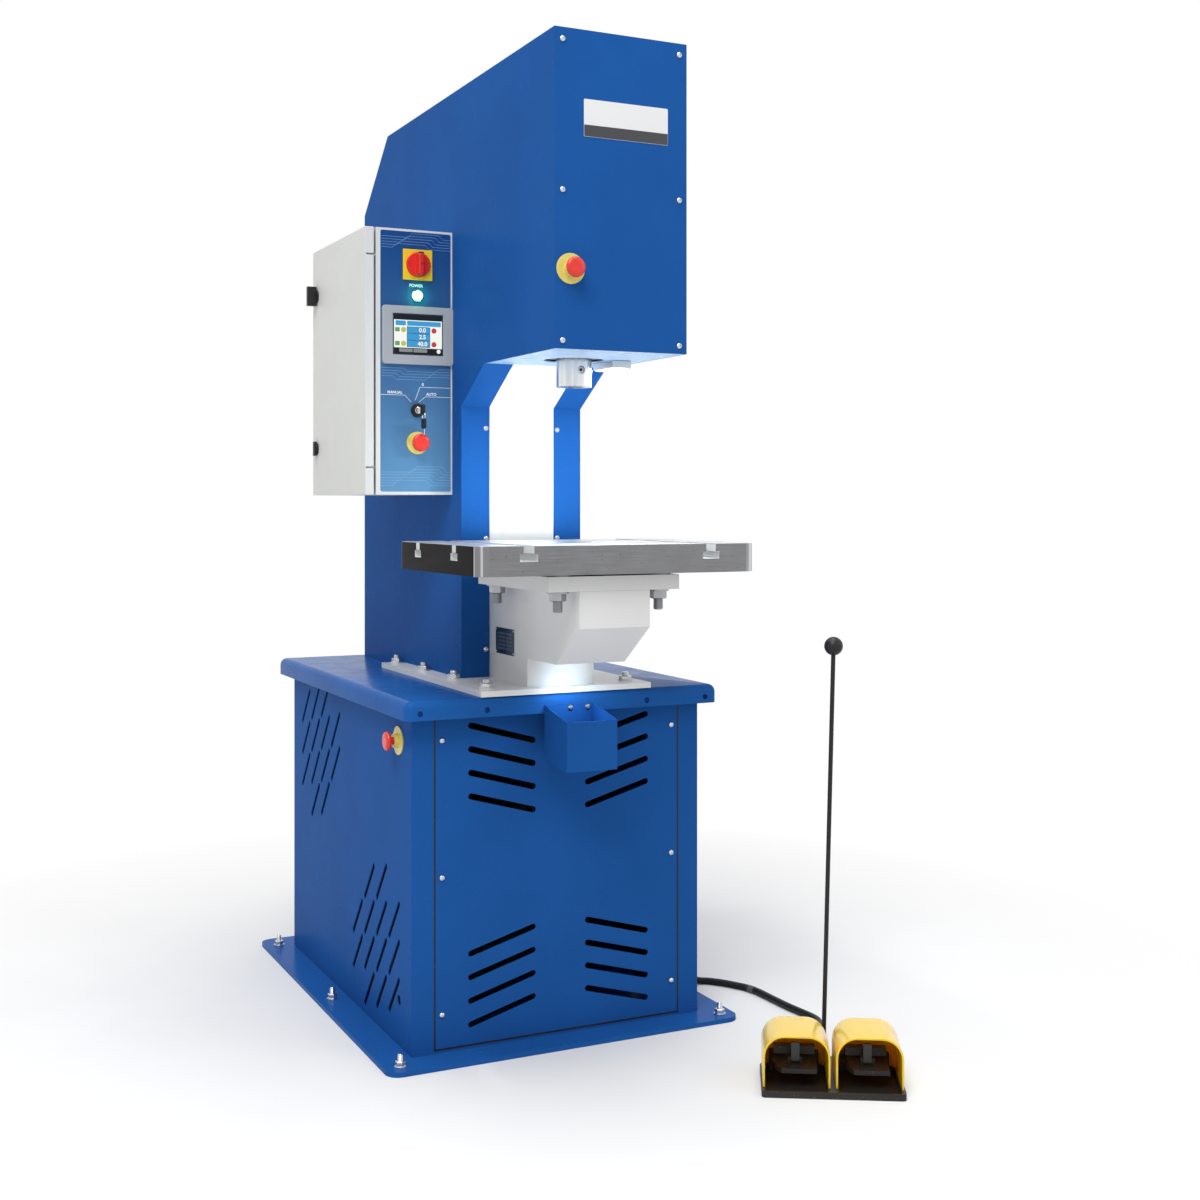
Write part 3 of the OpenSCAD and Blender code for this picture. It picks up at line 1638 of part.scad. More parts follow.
// Outline on the floor of a form with small corners in front and large ones at the back
module round_back(w, d, front_r, back_r) {
    translate([-w / 2 + front_r, 0]) square([w - 2 * front_r, d - back_r]);
    translate([-w / 2, front_r]) square([w, d - front_r - back_r]);
    translate([-w / 2 + back_r, 0]) square([w - 2 * back_r, d]);
    for (side = [-1, 1]) {
        translate([side * (w / 2 - front_r), front_r]) circle(front_r);
        translate([side * (w / 2 - back_r), d - back_r]) circle(back_r);
    }
}

module footswitch_base() {
    color(black) on_foot_switch() {
        difference() {
            union() {
                linear_extrude(foot_h) {
                    round_back(foot_w, foot_d, foot_r, foot_back_r);
                    translate([0, foot_d / 2]) round_back(tongue_w, foot_d / 2 + tongue_d, foot_r, foot_r);
                }
                translate([rod_at[0], rod_at[1], 0]) cylinder(d = boss_d, h = foot_h + boss_h);
            }
            for (side = [-1, 1])
                translate([side * hood_x - hood_w / 2 + foot_wall, foot_wall, foot_floor])
                    cube([hood_w - 2 * foot_wall, pedal_axis[0] - foot_wall, foot_h]);
            translate([rod_at[0], rod_at[1], foot_floor]) rotate([0, rod_lean, 0])
                cylinder(d = rod_d + 2 * fit, h = 2 * (foot_h + boss_h));
        }
        for (side = [-1, 1], edge = [-1, 1])
            translate([side * hood_x + edge * (pedal_w + 2 * ear_gap + ear_t) / 2 - ear_t / 2,
                       pedal_axis[0] - ear_r, foot_floor]) difference() {
                cube([ear_t, 2 * ear_r, pedal_axis[1] - foot_floor + ear_r]);
                translate([-eps, ear_r, pedal_axis[1] - foot_floor]) to_right()
                    cylinder(d = pedal_pin_d + 2 * fit, h = ear_t + 2 * eps);
            }
    }
}

// Outline of a hood from the front, on the Y axis: straight sides under a round-shouldered top
module hood_front(w, h, r) {
    translate([-w / 2, 0]) square([w, h - r]);
    translate([-w / 2 + r, 0]) square([w - 2 * r, h]);
    for (side = [-1, 1]) translate([side * (w / 2 - r), h - r]) circle(r);
}

module hood_form(w, d, h, r, back_r) {
    intersection() {
        translate([0, -back_r, 0]) linear_extrude(h) round_back(w, d + back_r, back_r, back_r);
        translate([0, d, 0]) to_front() linear_extrude(d) hood_front(w, h, r);
        side_profile(-w / 2, w / 2, [[0, 0], [d, 0], [d, 0.62 * h], [d - 0.2 * h, h], [0, h]]);
    }
}

module footswitch_hoods() {
    h = hood_h - hood_z;
    color(yellow) on_foot_switch()
        for (side = [-1, 1])
            translate([side * hood_x, hood_y0, hood_z]) difference() {
                hood_form(hood_w, hood_d, h, shoulder_r, hood_back_r);
                translate([0, -hood_wall, -eps])
                    hood_form(hood_w - 2 * hood_wall, hood_d, h - hood_wall + eps, shoulder_r - hood_wall,
                              hood_back_r - hood_wall);
            }
}

module footswitch_rod() {
    color(black) on_foot_switch() translate([rod_at[0], rod_at[1], foot_floor]) rotate([0, rod_lean, 0]) {
        cylinder(d = rod_d, h = rod_h);
        translate([0, 0, rod_h + ball_d / 2 - ball_hole]) difference() {
            sphere(d = ball_d);
            translate([0, 0, -ball_d])
                cylinder(d = rod_d + 2 * parting, h = ball_d / 2 + ball_hole + parting);
        }
    }
}

// Left corner that is cut off a pedal's front
module pedal_corner() {
    translate([-pedal_w / 2, -pedal_len, -pedal_w / 2]) linear_extrude(pedal_w)
        polygon([[-eps, -eps], [pedal_cut_w, -eps], [-eps, pedal_cut_d]]);
}

// Pedal of one side, hinged at its back
module pedal(side) {
    on_foot_switch() translate([side * hood_x, pedal_axis[0], pedal_axis[1]]) {
        difference() {
            union() {
                side_profile(-pedal_w / 2, pedal_w / 2, [
                    [-pedal_len, pedal_lip[0]], [-pedal_len, pedal_lip[1]], pedal_step,
                    [pedal_back[0], pedal_back[2]], [pedal_back[1], pedal_back[2]],
                    [pedal_back[1] / 2, 0], pedal_heel
                ]);
                translate([-pedal_w / 2, 0, 0]) to_right() cylinder(d = pedal_barrel_d, h = pedal_w);
                for (edge = [-1, 1])
                    translate([edge * (tab_w + tab_ear_t + 2 * tab_ear_gap) / 2 - tab_ear_t / 2,
                               latch_axis[0] - pedal_axis[0] - tab_ear_r, 0])
                        cube([tab_ear_t, 2 * tab_ear_r, latch_axis[1] - pedal_axis[1] + tab_ear_t]);
            }
            translate([-pedal_w / 2, latch_axis[0] - pedal_axis[0], latch_axis[1] - pedal_axis[1]])
                to_right() cylinder(d = latch_pin_d + 2 * fit, h = pedal_w);
            pedal_corner();
        }
        translate([-pedal_w / 2 - ear_gap - ear_t, 0, 0]) to_right()
            cylinder(d = pedal_pin_d, h = pedal_w + 2 * (ear_gap + ear_t));
    }
}

// Release tab of one side, pivoted on the pedal's ears
module pedal_latch(side) {
    on_foot_switch() translate([side * hood_x, latch_axis[0], latch_axis[1]]) {
        translate([-tab_w / 2 - tab_ear_t - tab_ear_gap, 0, 0]) to_right()
            cylinder(d = latch_pin_d, h = tab_w + 2 * (tab_ear_t + tab_ear_gap));
        translate([-tab_w / 2 + tab_play, -tab_t / 2, -tab_t / 2])
            cube([tab_w - 2 * tab_play, tab_t, tab_h]);
    }
}

module left_pedal() {
    color(black) pedal(-1);
}

module right_pedal() {
    color(black) pedal(1);
}

module left_pedal_latch() {
    color(steel) pedal_latch(-1);
}

module right_pedal_latch() {
    color(steel) pedal_latch(1);
}

base_plate();
levelling_bolts();
base_cabinet();
front_panel();
rear_panel();
frame_fasteners();
tray_top();
foot_flange();
frame_left_plate();
frame_right_plate();
frame_webs();
bed_nose();
drop_deflector();
bed_flange();
table();
table_studs();
catch_box();
left_cover();
right_cover();
rear_cover();
head_front_cover();
head_bottom_cover();
cylinder_block();
cylinder_barrel();
cylinder_gland();
work_lamp();
cabinet_box();
hmi_panel();
main_switch_plate();
power_lamp();
key_switch_body();
estop_bases();
control_gear();
oil_tank();
pump_motor();
gear_pump();
valve_block();
pressure_pipes();
cable_glands();
foot_conduit();
foot_cable();
footswitch_base();
footswitch_hoods();
footswitch_rod();
ram();
ram_piston();
cabinet_door();
upper_latch();
lower_latch();
main_switch_knob();
switch_key();
head_estop_cap();
panel_estop_cap();
left_estop_cap();
right_estop_cap();
left_pedal();
right_pedal();
left_pedal_latch();
right_pedal_latch();
motor_rotor();
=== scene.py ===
"""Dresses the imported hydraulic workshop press: finishes, fittings, conduit, light and camera."""

from __future__ import annotations

import json
import logging
import math
from dataclasses import dataclass, field
from enum import Enum
from typing import Any, Callable, Iterable, Sequence

import bpy
from mathutils import Matrix, Vector

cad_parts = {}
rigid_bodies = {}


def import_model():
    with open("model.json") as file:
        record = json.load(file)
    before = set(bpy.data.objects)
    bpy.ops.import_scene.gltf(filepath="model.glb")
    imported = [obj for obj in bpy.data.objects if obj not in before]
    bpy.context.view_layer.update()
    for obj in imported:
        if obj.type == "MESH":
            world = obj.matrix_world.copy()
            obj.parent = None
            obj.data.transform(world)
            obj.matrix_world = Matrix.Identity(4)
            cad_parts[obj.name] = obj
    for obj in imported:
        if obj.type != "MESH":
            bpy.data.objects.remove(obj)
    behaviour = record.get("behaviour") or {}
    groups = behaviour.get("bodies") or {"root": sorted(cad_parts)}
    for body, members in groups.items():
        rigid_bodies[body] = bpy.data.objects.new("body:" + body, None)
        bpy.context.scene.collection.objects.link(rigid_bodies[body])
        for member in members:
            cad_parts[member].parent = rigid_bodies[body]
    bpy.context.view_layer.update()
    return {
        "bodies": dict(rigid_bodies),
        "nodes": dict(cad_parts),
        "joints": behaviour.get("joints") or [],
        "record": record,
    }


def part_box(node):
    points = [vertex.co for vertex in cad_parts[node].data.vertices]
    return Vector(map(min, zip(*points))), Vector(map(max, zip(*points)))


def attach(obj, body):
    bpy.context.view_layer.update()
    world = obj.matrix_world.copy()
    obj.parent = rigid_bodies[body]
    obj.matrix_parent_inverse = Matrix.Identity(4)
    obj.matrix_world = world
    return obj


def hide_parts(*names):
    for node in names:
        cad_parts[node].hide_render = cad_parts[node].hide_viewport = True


LOG = logging.getLogger("press")
MACHINE = "machine"
MM = 0.001
TINY = 1e-6
PARALLEL = 0.9
FACING = 0.99
SMOOTH_DEG = 35.0
FLAT_DEG = 0.6
UNIT = (0.0, 1.0)
ORIGIN = (0, 0, 0)
UP = (0, 0, 1)
FORE = (0, -1, 0)
LEFT = (-1, 0, 0)
RIGHT = (1, 0, 0)

Triple = tuple[float, float, float]
Box = tuple[Vector, Vector]
Test = Callable[[Vector, Vector], bool]
Piece = bpy.types.Object
Socket = bpy.types.NodeSocket


class Slot(str, Enum):
    """Material slots of the press's record."""

    BLUE = "blue_paint"
    WHITE = "white_paint"
    GREY = "grey_paint"
    STEEL = "milled_steel"
    ZINC = "zinc"
    LAMP = "lamp_metal"
    GREY_PLASTIC = "grey_plastic"
    LIGHT_PLASTIC = "light_plastic"
    BLACK = "black_plastic"
    YELLOW = "yellow_plastic"
    RED = "red_plastic"
    GREEN = "green_lens"
    HOSE = "black_hose"
    DARK = "dark_paint"
    CAST = "cast_parts"


class Grain(Enum):
    """Direction of the marks that a tool leaves in metal, as stretch factors of the noise."""

    ALONG_X = (0.02, 1.0, 1.0)
    ALONG_Y = (1.0, 0.02, 1.0)
    ALONG_Z = (1.0, 1.0, 0.02)
    TURNED = (1.0, 1.0, 6.0)
    NONE = (1.0, 1.0, 1.0)


class NodeBench:
    """A material under construction, with short calls for the nodes that the finishes use."""

    def __init__(self, name: str) -> None:
        """Starts a material with a principled shader.

        Args:
            name: Name of the material.
        """
        self.material = bpy.data.materials.new(name)
        self.material.use_nodes = True
        self.tree = self.material.node_tree
        self.shader = self.tree.nodes["Principled BSDF"]
        self.coords = self.tree.nodes.new("ShaderNodeTexCoord").outputs["Object"]

    def add(self, kind: str, **settings: Any) -> bpy.types.ShaderNode:
        """Adds a node.

        Args:
            kind: Node type.
            settings: Attributes to set on it.

        Returns:
            The new node.
        """
        node = self.tree.nodes.new(kind)
        for key, value in settings.items():
            setattr(node, key, value)
        return node

    def wire(self, source: Socket, target: Socket) -> None:
        """Links an output to an input."""
        self.tree.links.new(source, target)

    def put(self, **values: Any) -> None:
        """Sets sockets of the shader, named with underscores for blanks."""
        for key, value in values.items():
            self.shader.inputs[key.replace("_", " ")].default_value = value

    def noise(
        self, cell_m: float, stretch: Triple = Grain.NONE.value, detail: float = 4.0
    ) -> Socket:
        """Adds noise on the object's own coordinates.

        Args:
            cell_m: Size of a noise cell in metres.
            stretch: Scale of the coordinates along each axis.
            detail: Octaves of the noise.

        Returns:
            The noise's value output.
        """
        mapping = self.add("ShaderNodeMapping")
        mapping.inputs["Scale"].default_value = stretch
        self.wire(self.coords, mapping.inputs["Vector"])
        node = self.add("ShaderNodeTexNoise")
        node.inputs["Scale"].default_value = 1.0 / cell_m
        node.inputs["Detail"].default_value = detail
        self.wire(mapping.outputs["Vector"], node.inputs["Vector"])
        return node.outputs["Fac"]

    def remap(
        self, value: Socket, source: tuple[float, float], target: tuple[float, float] = UNIT
    ) -> Socket:
        """Maps a range of values onto another, clamped.

        Args:
            value: Output to map.
            source: Range that comes in.
            target: Range that goes out.

        Returns:
            The mapped output.
        """
        node = self.add("ShaderNodeMapRange")
        node.inputs["From Min"].default_value, node.inputs["From Max"].default_value = source
        node.inputs["To Min"].default_value, node.inputs["To Max"].default_value = target
        self.wire(value, node.inputs["Value"])
        return node.outputs["Result"]

    def mix(self, factor: Socket, first: Any, second: Any) -> Socket:
        """Mixes two colours, each given as numbers or as an output.

        Args:
            factor: Output that picks between them.
            first: Colour at 0.
            second: Colour at 1.

        Returns:
            The mixed colour.
        """
        node = self.add("ShaderNodeMix", data_type="RGBA")
        self.wire(factor, node.inputs[0])
        for socket, value in ((node.inputs[6], first), (node.inputs[7], second)):
            if isinstance(value, Socket):
                self.wire(value, socket)
            else:
                socket.default_value = (*value, 1.0)
        return node.outputs[2]

    def math(self, operation: str, first: Any, second: Any) -> Socket:
        """Combines two values, each given as a number or as an output.

        Args:
            operation: Name of the operation.
            first: First value.
            second: Second value.

        Returns:
            The result.
        """
        node = self.add("ShaderNodeMath", operation=operation)
        for socket, value in zip(node.inputs, (first, second)):
            if isinstance(value, Socket):
                self.wire(value, socket)
            else:
                socket.default_value = value
        return node.outputs[0]

    def axis(self, name: str) -> Socket:
        """One coordinate of the object's own space.

        Args:
            name: Letter of the axis.

        Returns:
            The coordinate.
        """
        split = self.add("ShaderNodeSeparateXYZ")
        self.wire(self.coords, split.inputs[0])
        return split.outputs[name]

    def color(self, value: Socket) -> None:
        """Feeds the base colour."""
        self.wire(value, self.shader.inputs["Base Color"])

    def rough(self, value: Socket) -> None:
        """Feeds the roughness."""
        self.wire(value, self.shader.inputs["Roughness"])

    def bump(self, height: Socket, depth_m: float, strength: float = 1.0) -> None:
        """Adds relief, on top of any relief that is already there.

        Args:
            height: Output with the relief.
            depth_m: Depth of the relief in metres.
            strength: Share of the relief that shows.
        """
        node = self.add("ShaderNodeBump")
        node.inputs["Distance"].default_value = depth_m
        node.inputs["Strength"].default_value = strength
        self.wire(height, node.inputs["Height"])
        before = self.shader.inputs["Normal"].links
        if before:
            self.wire(before[0].from_socket, node.inputs["Normal"])
        self.wire(node.outputs["Normal"], self.shader.inputs["Normal"])


def shade(color: Triple, factor: float) -> Triple:
    """A colour made lighter or darker by a factor."""
    return tuple(min(1.0, channel * factor) for channel in color)


@dataclass(frozen=True)
class Coating:
    """Paint, moulded plastic or rubber: a colour with mottling, grain and uneven gloss."""

    name: str
    color: Triple
    roughness: float
    grain_mm: float
    grain_depth_mm: float
    mottling: float = 0.06
    specular: float = 0.5
    coat: float = 0.0
    dust: float = 0.0
    soak_mm: float = 0.0
    patch_m: float = 0.23
    gloss_m: float = 0.05
    speck_m: float = 0.004
    speck_color: Triple = (0.6, 0.58, 0.54)
    coat_roughness: float = 0.08
    soak_weight: float = 0.5
    soak_reach: Triple = (1.0, 0.5, 0.1)

    def make(self) -> bpy.types.Material:
        """Builds the material.

        Returns:
            The material.
        """
        bench = NodeBench(self.name)
        patches = bench.remap(bench.noise(self.patch_m), (0.35, 0.65))
        dark, light = shade(self.color, 1 - self.mottling), shade(self.color, 1 + self.mottling)
        tone = bench.mix(patches, dark, light)
        if self.dust:
            specks = bench.remap(bench.noise(self.speck_m, detail=2.0), (0.66, 0.74), (0.0, self.dust))
            tone = bench.mix(specks, tone, self.speck_color)
        bench.color(tone)
        gloss = (self.roughness * 0.85, self.roughness * 1.2)
        bench.rough(bench.remap(bench.noise(self.gloss_m), (0.3, 0.7), gloss))
        bench.bump(bench.noise(self.grain_mm * MM, detail=2.0), self.grain_depth_mm * MM)
        bench.put(Specular_IOR_Level=self.specular)
        bench.put(Coat_Weight=self.coat, Coat_Roughness=self.coat_roughness)
        if self.soak_mm:
            bench.put(Subsurface_Weight=self.soak_weight, Subsurface_Scale=self.soak_mm * MM)
            bench.put(Subsurface_Radius=self.soak_reach)
        return bench.material


@dataclass(frozen=True)
class Metal:
    """Bare or plated metal with the marks of its tool and faint stains."""

    name: str
    color: Triple
    roughness: float
    grain: Grain
    line_mm: float
    line_depth_mm: float
    stain: float = 0.15
    stain_m: float = 0.06
    line_shade: float = 0.92

    def make(self) -> bpy.types.Material:
        """Builds the material.

        Returns:
            The material.
        """
        bench = NodeBench(self.name)
        lines = bench.noise(self.line_mm * MM, self.grain.value, 3.0)
        stains = bench.remap(bench.noise(self.stain_m), (0.35, 0.7))
        tone = bench.mix(stains, shade(self.color, 1 + self.stain), shade(self.color, 1 - self.stain))
        bench.color(bench.mix(bench.remap(lines, (0.4, 0.6)), tone, shade(self.color, self.line_shade)))
        bench.rough(bench.remap(lines, (0.3, 0.7), (self.roughness * 0.8, self.roughness * 1.25)))
        bench.bump(lines, self.line_depth_mm * MM)
        bench.put(Metallic=1.0)
        return bench.material


@dataclass(frozen=True)
class TableSteel:
    """Table plate: milled faces, with painted light and shade: slots painted bright (painted light), round
    corners bright with stripes (fresh cut and painted highlight), end faces dark (mill scale and painted
    dark reflection) and a lighter top (ground finish and painted light).
    """

    name: str
    half_width: float
    half_depth: float
    top: float
    axis_y: float
    slot_x: float = 0.2
    slot_y: float = 0.105
    neck_half: float = 0.0112
    neck_depth: float = 0.016
    wide_half: float = 0.0192
    slot_depth: float = 0.0302
    corner: float = 0.024
    # Bright tone of the slots and round corners: painted light in the slots, fresh cut and painted
    # highlight on the corners.
    cut: Triple = (0.66, 0.67, 0.66)
    milled: Triple = (0.24, 0.242, 0.25)
    # Dark tone of the two end faces: mill scale and painted dark reflection.
    scale: Triple = (0.011, 0.0105, 0.0105)
    # Lighter tone of the top face: ground finish and painted light.
    ground: Triple = (0.64, 0.65, 0.655)
    cut_mm: float = 1.8
    edge_mm: float = 0.6
    stain_m: float = 0.05
    pit_m: float = 0.006
    pit_color: Triple = (0.12, 0.11, 0.10)
    stripe_m: float = 0.012
    streak_m: float = 0.01
    streak_stretch: Triple = (1.0, 0.1, 1.0)
    line_depth: float = 0.00004
    neck_top: float = 0.001
    face_depth: tuple[float, float] = (0.0005, 0.0001)
    reach_blur: float = 0.0004
    slot_blur: float = 0.0002
    specular: float = 0.012

    def make(self) -> bpy.types.Material:
        """Builds the material.

        Returns:
            The material.
        """
        bench = NodeBench(self.name)
        lines = bench.noise(self.cut_mm * MM, Grain.ALONG_X.value, 3.0)
        stains = bench.remap(bench.noise(self.stain_m), (0.35, 0.7))
        pits = bench.remap(bench.noise(self.pit_m, detail=2.0), (0.70, 0.74), (0.0, 0.7))
        bright = bench.mix(stains, shade(self.milled, 1.06), shade(self.milled, 0.92))
        bright = bench.mix(bench.remap(lines, (0.35, 0.65), (0.0, 0.5)), bright, shade(self.milled, 0.72))
        bright = bench.mix(pits, bright, self.pit_color)
        # Bright vertical stripes on the round corners: tool marks and painted highlight.
        marks = bench.remap(bench.noise(self.stripe_m, Grain.ALONG_Z.value, 2.0), (0.42, 0.58))
        corner_highlight = bench.mix(marks, self.cut, self.milled)
        # Streaked dark tone of the end faces: mill scale and painted dark reflection.
        streaks = bench.remap(bench.noise(self.streak_m, self.streak_stretch), (0.3, 0.7), (0.7, 1.6))
        dark = bench.mix(streaks, (0.0, 0.0, 0.0), self.scale)
        end = self.beyond(bench, "X", 0.0, self.half_width - self.edge_mm * MM)
        corner_x = self.beyond(bench, "X", 0.0, self.half_width - self.corner)
        corner_y = self.beyond(bench, "Y", self.axis_y, self.half_depth - self.corner)
        corners = bench.math("MULTIPLY", corner_x, corner_y)
        # Masks of the slots, which are painted bright: painted light in place of the lamp's light inside
        # them.
        necks = self.slots(bench, self.neck_half, self.neck_depth, self.neck_top)
        shoulder = self.neck_depth - self.slot_blur
        undercuts = self.slots(bench, self.wide_half, self.slot_depth, shoulder)
        slots = bench.math("MAXIMUM", necks, undercuts)
        # Round corners take the bright striped tone (painted highlight); end faces take the dark tone
        # (mill scale and painted dark reflection).
        plate = bench.mix(end, bench.mix(corners, bright, corner_highlight), dark)
        # The top face takes the lighter tone: ground finish and painted light.
        height = tuple(self.top - depth for depth in self.face_depth)
        face = bench.remap(bench.axis("Z"), height)
        plate = bench.mix(face, plate, self.ground)
        # The slots take the bright tone: painted light.
        bench.color(bench.mix(slots, plate, self.cut))
        bench.rough(bench.remap(lines, (0.3, 0.7), (0.30, 0.46)))
        bench.bump(lines, self.line_depth)
        matt = bench.math("MAXIMUM", slots, end)
        bench.wire(bench.remap(matt, UNIT, (1.0, 0.1)), bench.shader.inputs["Metallic"])
        bench.put(Specular_IOR_Level=self.specular)
        return bench.material

    def beyond(self, bench: NodeBench, axis: str, middle: float, reach: float) -> Socket:
        """Where the plate lies further than a reach from its middle.

        Args:
            bench: Material under construction.
            axis: Letter of the axis.
            middle: Place of the middle.
            reach: Distance from the middle.

        Returns:
            An output that is 1 beyond the reach.
        """
        gap = bench.math("ABSOLUTE", bench.math("SUBTRACT", bench.axis(axis), middle), 0.0)
        return bench.remap(gap, (reach - self.reach_blur, reach))

    def slots(self, bench: NodeBench, half: float, deep: float, shallow: float) -> Socket:
        """Where a part of the slots lies, in all four of them.

        Args:
            bench: Material under construction.
            half: Half the width.
            deep: Depth of its floor.
            shallow: Depth of its top.

        Returns:
            An output that is 1 within it.
        """
        long_slots = self.near(bench, "X", 0.0, self.slot_x, half)
        cross_slots = self.near(bench, "Y", self.axis_y, self.slot_y, half)
        height = bench.axis("Z")
        roof, ground = self.top - shallow, self.top - deep
        below = bench.remap(height, (roof - self.slot_blur, roof), (1.0, 0.0))
        above = bench.remap(height, (ground - self.slot_blur, ground))
        both = bench.math("MAXIMUM", long_slots, cross_slots)
        return bench.math("MULTIPLY", both, bench.math("MULTIPLY", below, above))

    def near(
        self, bench: NodeBench, axis: str, middle: float, offset: float, half: float
    ) -> Socket:
        """Where a pair of slots lies across an axis.

        Args:
            bench: Material under construction.
            axis: Letter of the axis.
            middle: Place of the pair's middle.
            offset: Distance of each slot from the middle.
            half: Half the width of a slot.

        Returns:
            An output that is 1 within either slot.
        """
        gap = bench.math("ABSOLUTE", bench.math("SUBTRACT", bench.axis(axis), middle), 0.0)
        gap = bench.math("ABSOLUTE", bench.math("SUBTRACT", gap, offset), 0.0)
        return bench.remap(gap, (half - self.slot_blur, half), (1.0, 0.0))


@dataclass(frozen=True)
class Glow:
    """Something lit from behind, such as a lens or a field on a screen."""

    name: str
    color: Triple
    strength: float
    cell_mm: float = 0.8
    roughness: float = 0.25
    specular: float = 0.2

    def make(self) -> bpy.types.Material:
        """Builds the material.

        Returns:
            The material.
        """
        bench = NodeBench(self.name)
        cells = bench.remap(bench.noise(self.cell_mm * MM, detail=1.0), (0.3, 0.7))
        tone = bench.mix(cells, shade(self.color, 0.94), shade(self.color, 1.04))
        bench.wire(tone, bench.shader.inputs["Emission Color"])
        bench.put(Base_Color=(*shade(self.color, 0.1), 1.0), Emission_Strength=self.strength)
        bench.put(Roughness=self.roughness, Specular_IOR_Level=self.specular)
        return bench.material


@dataclass(frozen=True)
class PanelFoil:
    """Printed foil of the control panel: a blue that brightens downwards."""

    name: str
    low_z: float
    high_z: float
    dark: Triple = (0.010, 0.062, 0.22)
    light: Triple = (0.105, 0.26, 0.435)
    bend: float = 1.35
    gloss_m: float = 0.02
    grain_m: float = 0.0008
    grain_depth: float = 0.00001
    specular: float = 0.12

    def make(self) -> bpy.types.Material:
        """Builds the material.

        Returns:
            The material.
        """
        bench = NodeBench(self.name)
        fade = bench.remap(bench.axis("Z"), (self.low_z, self.high_z), (1.0, 0.0))
        bench.color(bench.mix(bench.math("POWER", fade, self.bend), self.dark, self.light))
        bench.rough(bench.remap(bench.noise(self.gloss_m), (0.3, 0.7), (0.28, 0.4)))
        bench.bump(bench.noise(self.grain_m, detail=1.0), self.grain_depth)
        bench.put(Specular_IOR_Level=self.specular)
        return bench.material


Finish = Coating | Metal | TableSteel | Glow | PanelFoil


def runs_along(axis: str) -> Test:
    """A test for edges that run along an axis.

    Args:
        axis: Letter of the axis.

    Returns:
        The test.
    """
    index = "xyz".index(axis)
    return lambda mid, run: abs(run[index]) > PARALLEL


def mm(*lengths: float) -> Vector:
    """A vector from lengths in millimetres."""
    return Vector(lengths) * MM


def centre_of(node: str) -> Vector:
    """Middle of a node's box."""
    low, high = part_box(node)
    return (low + high) / 2


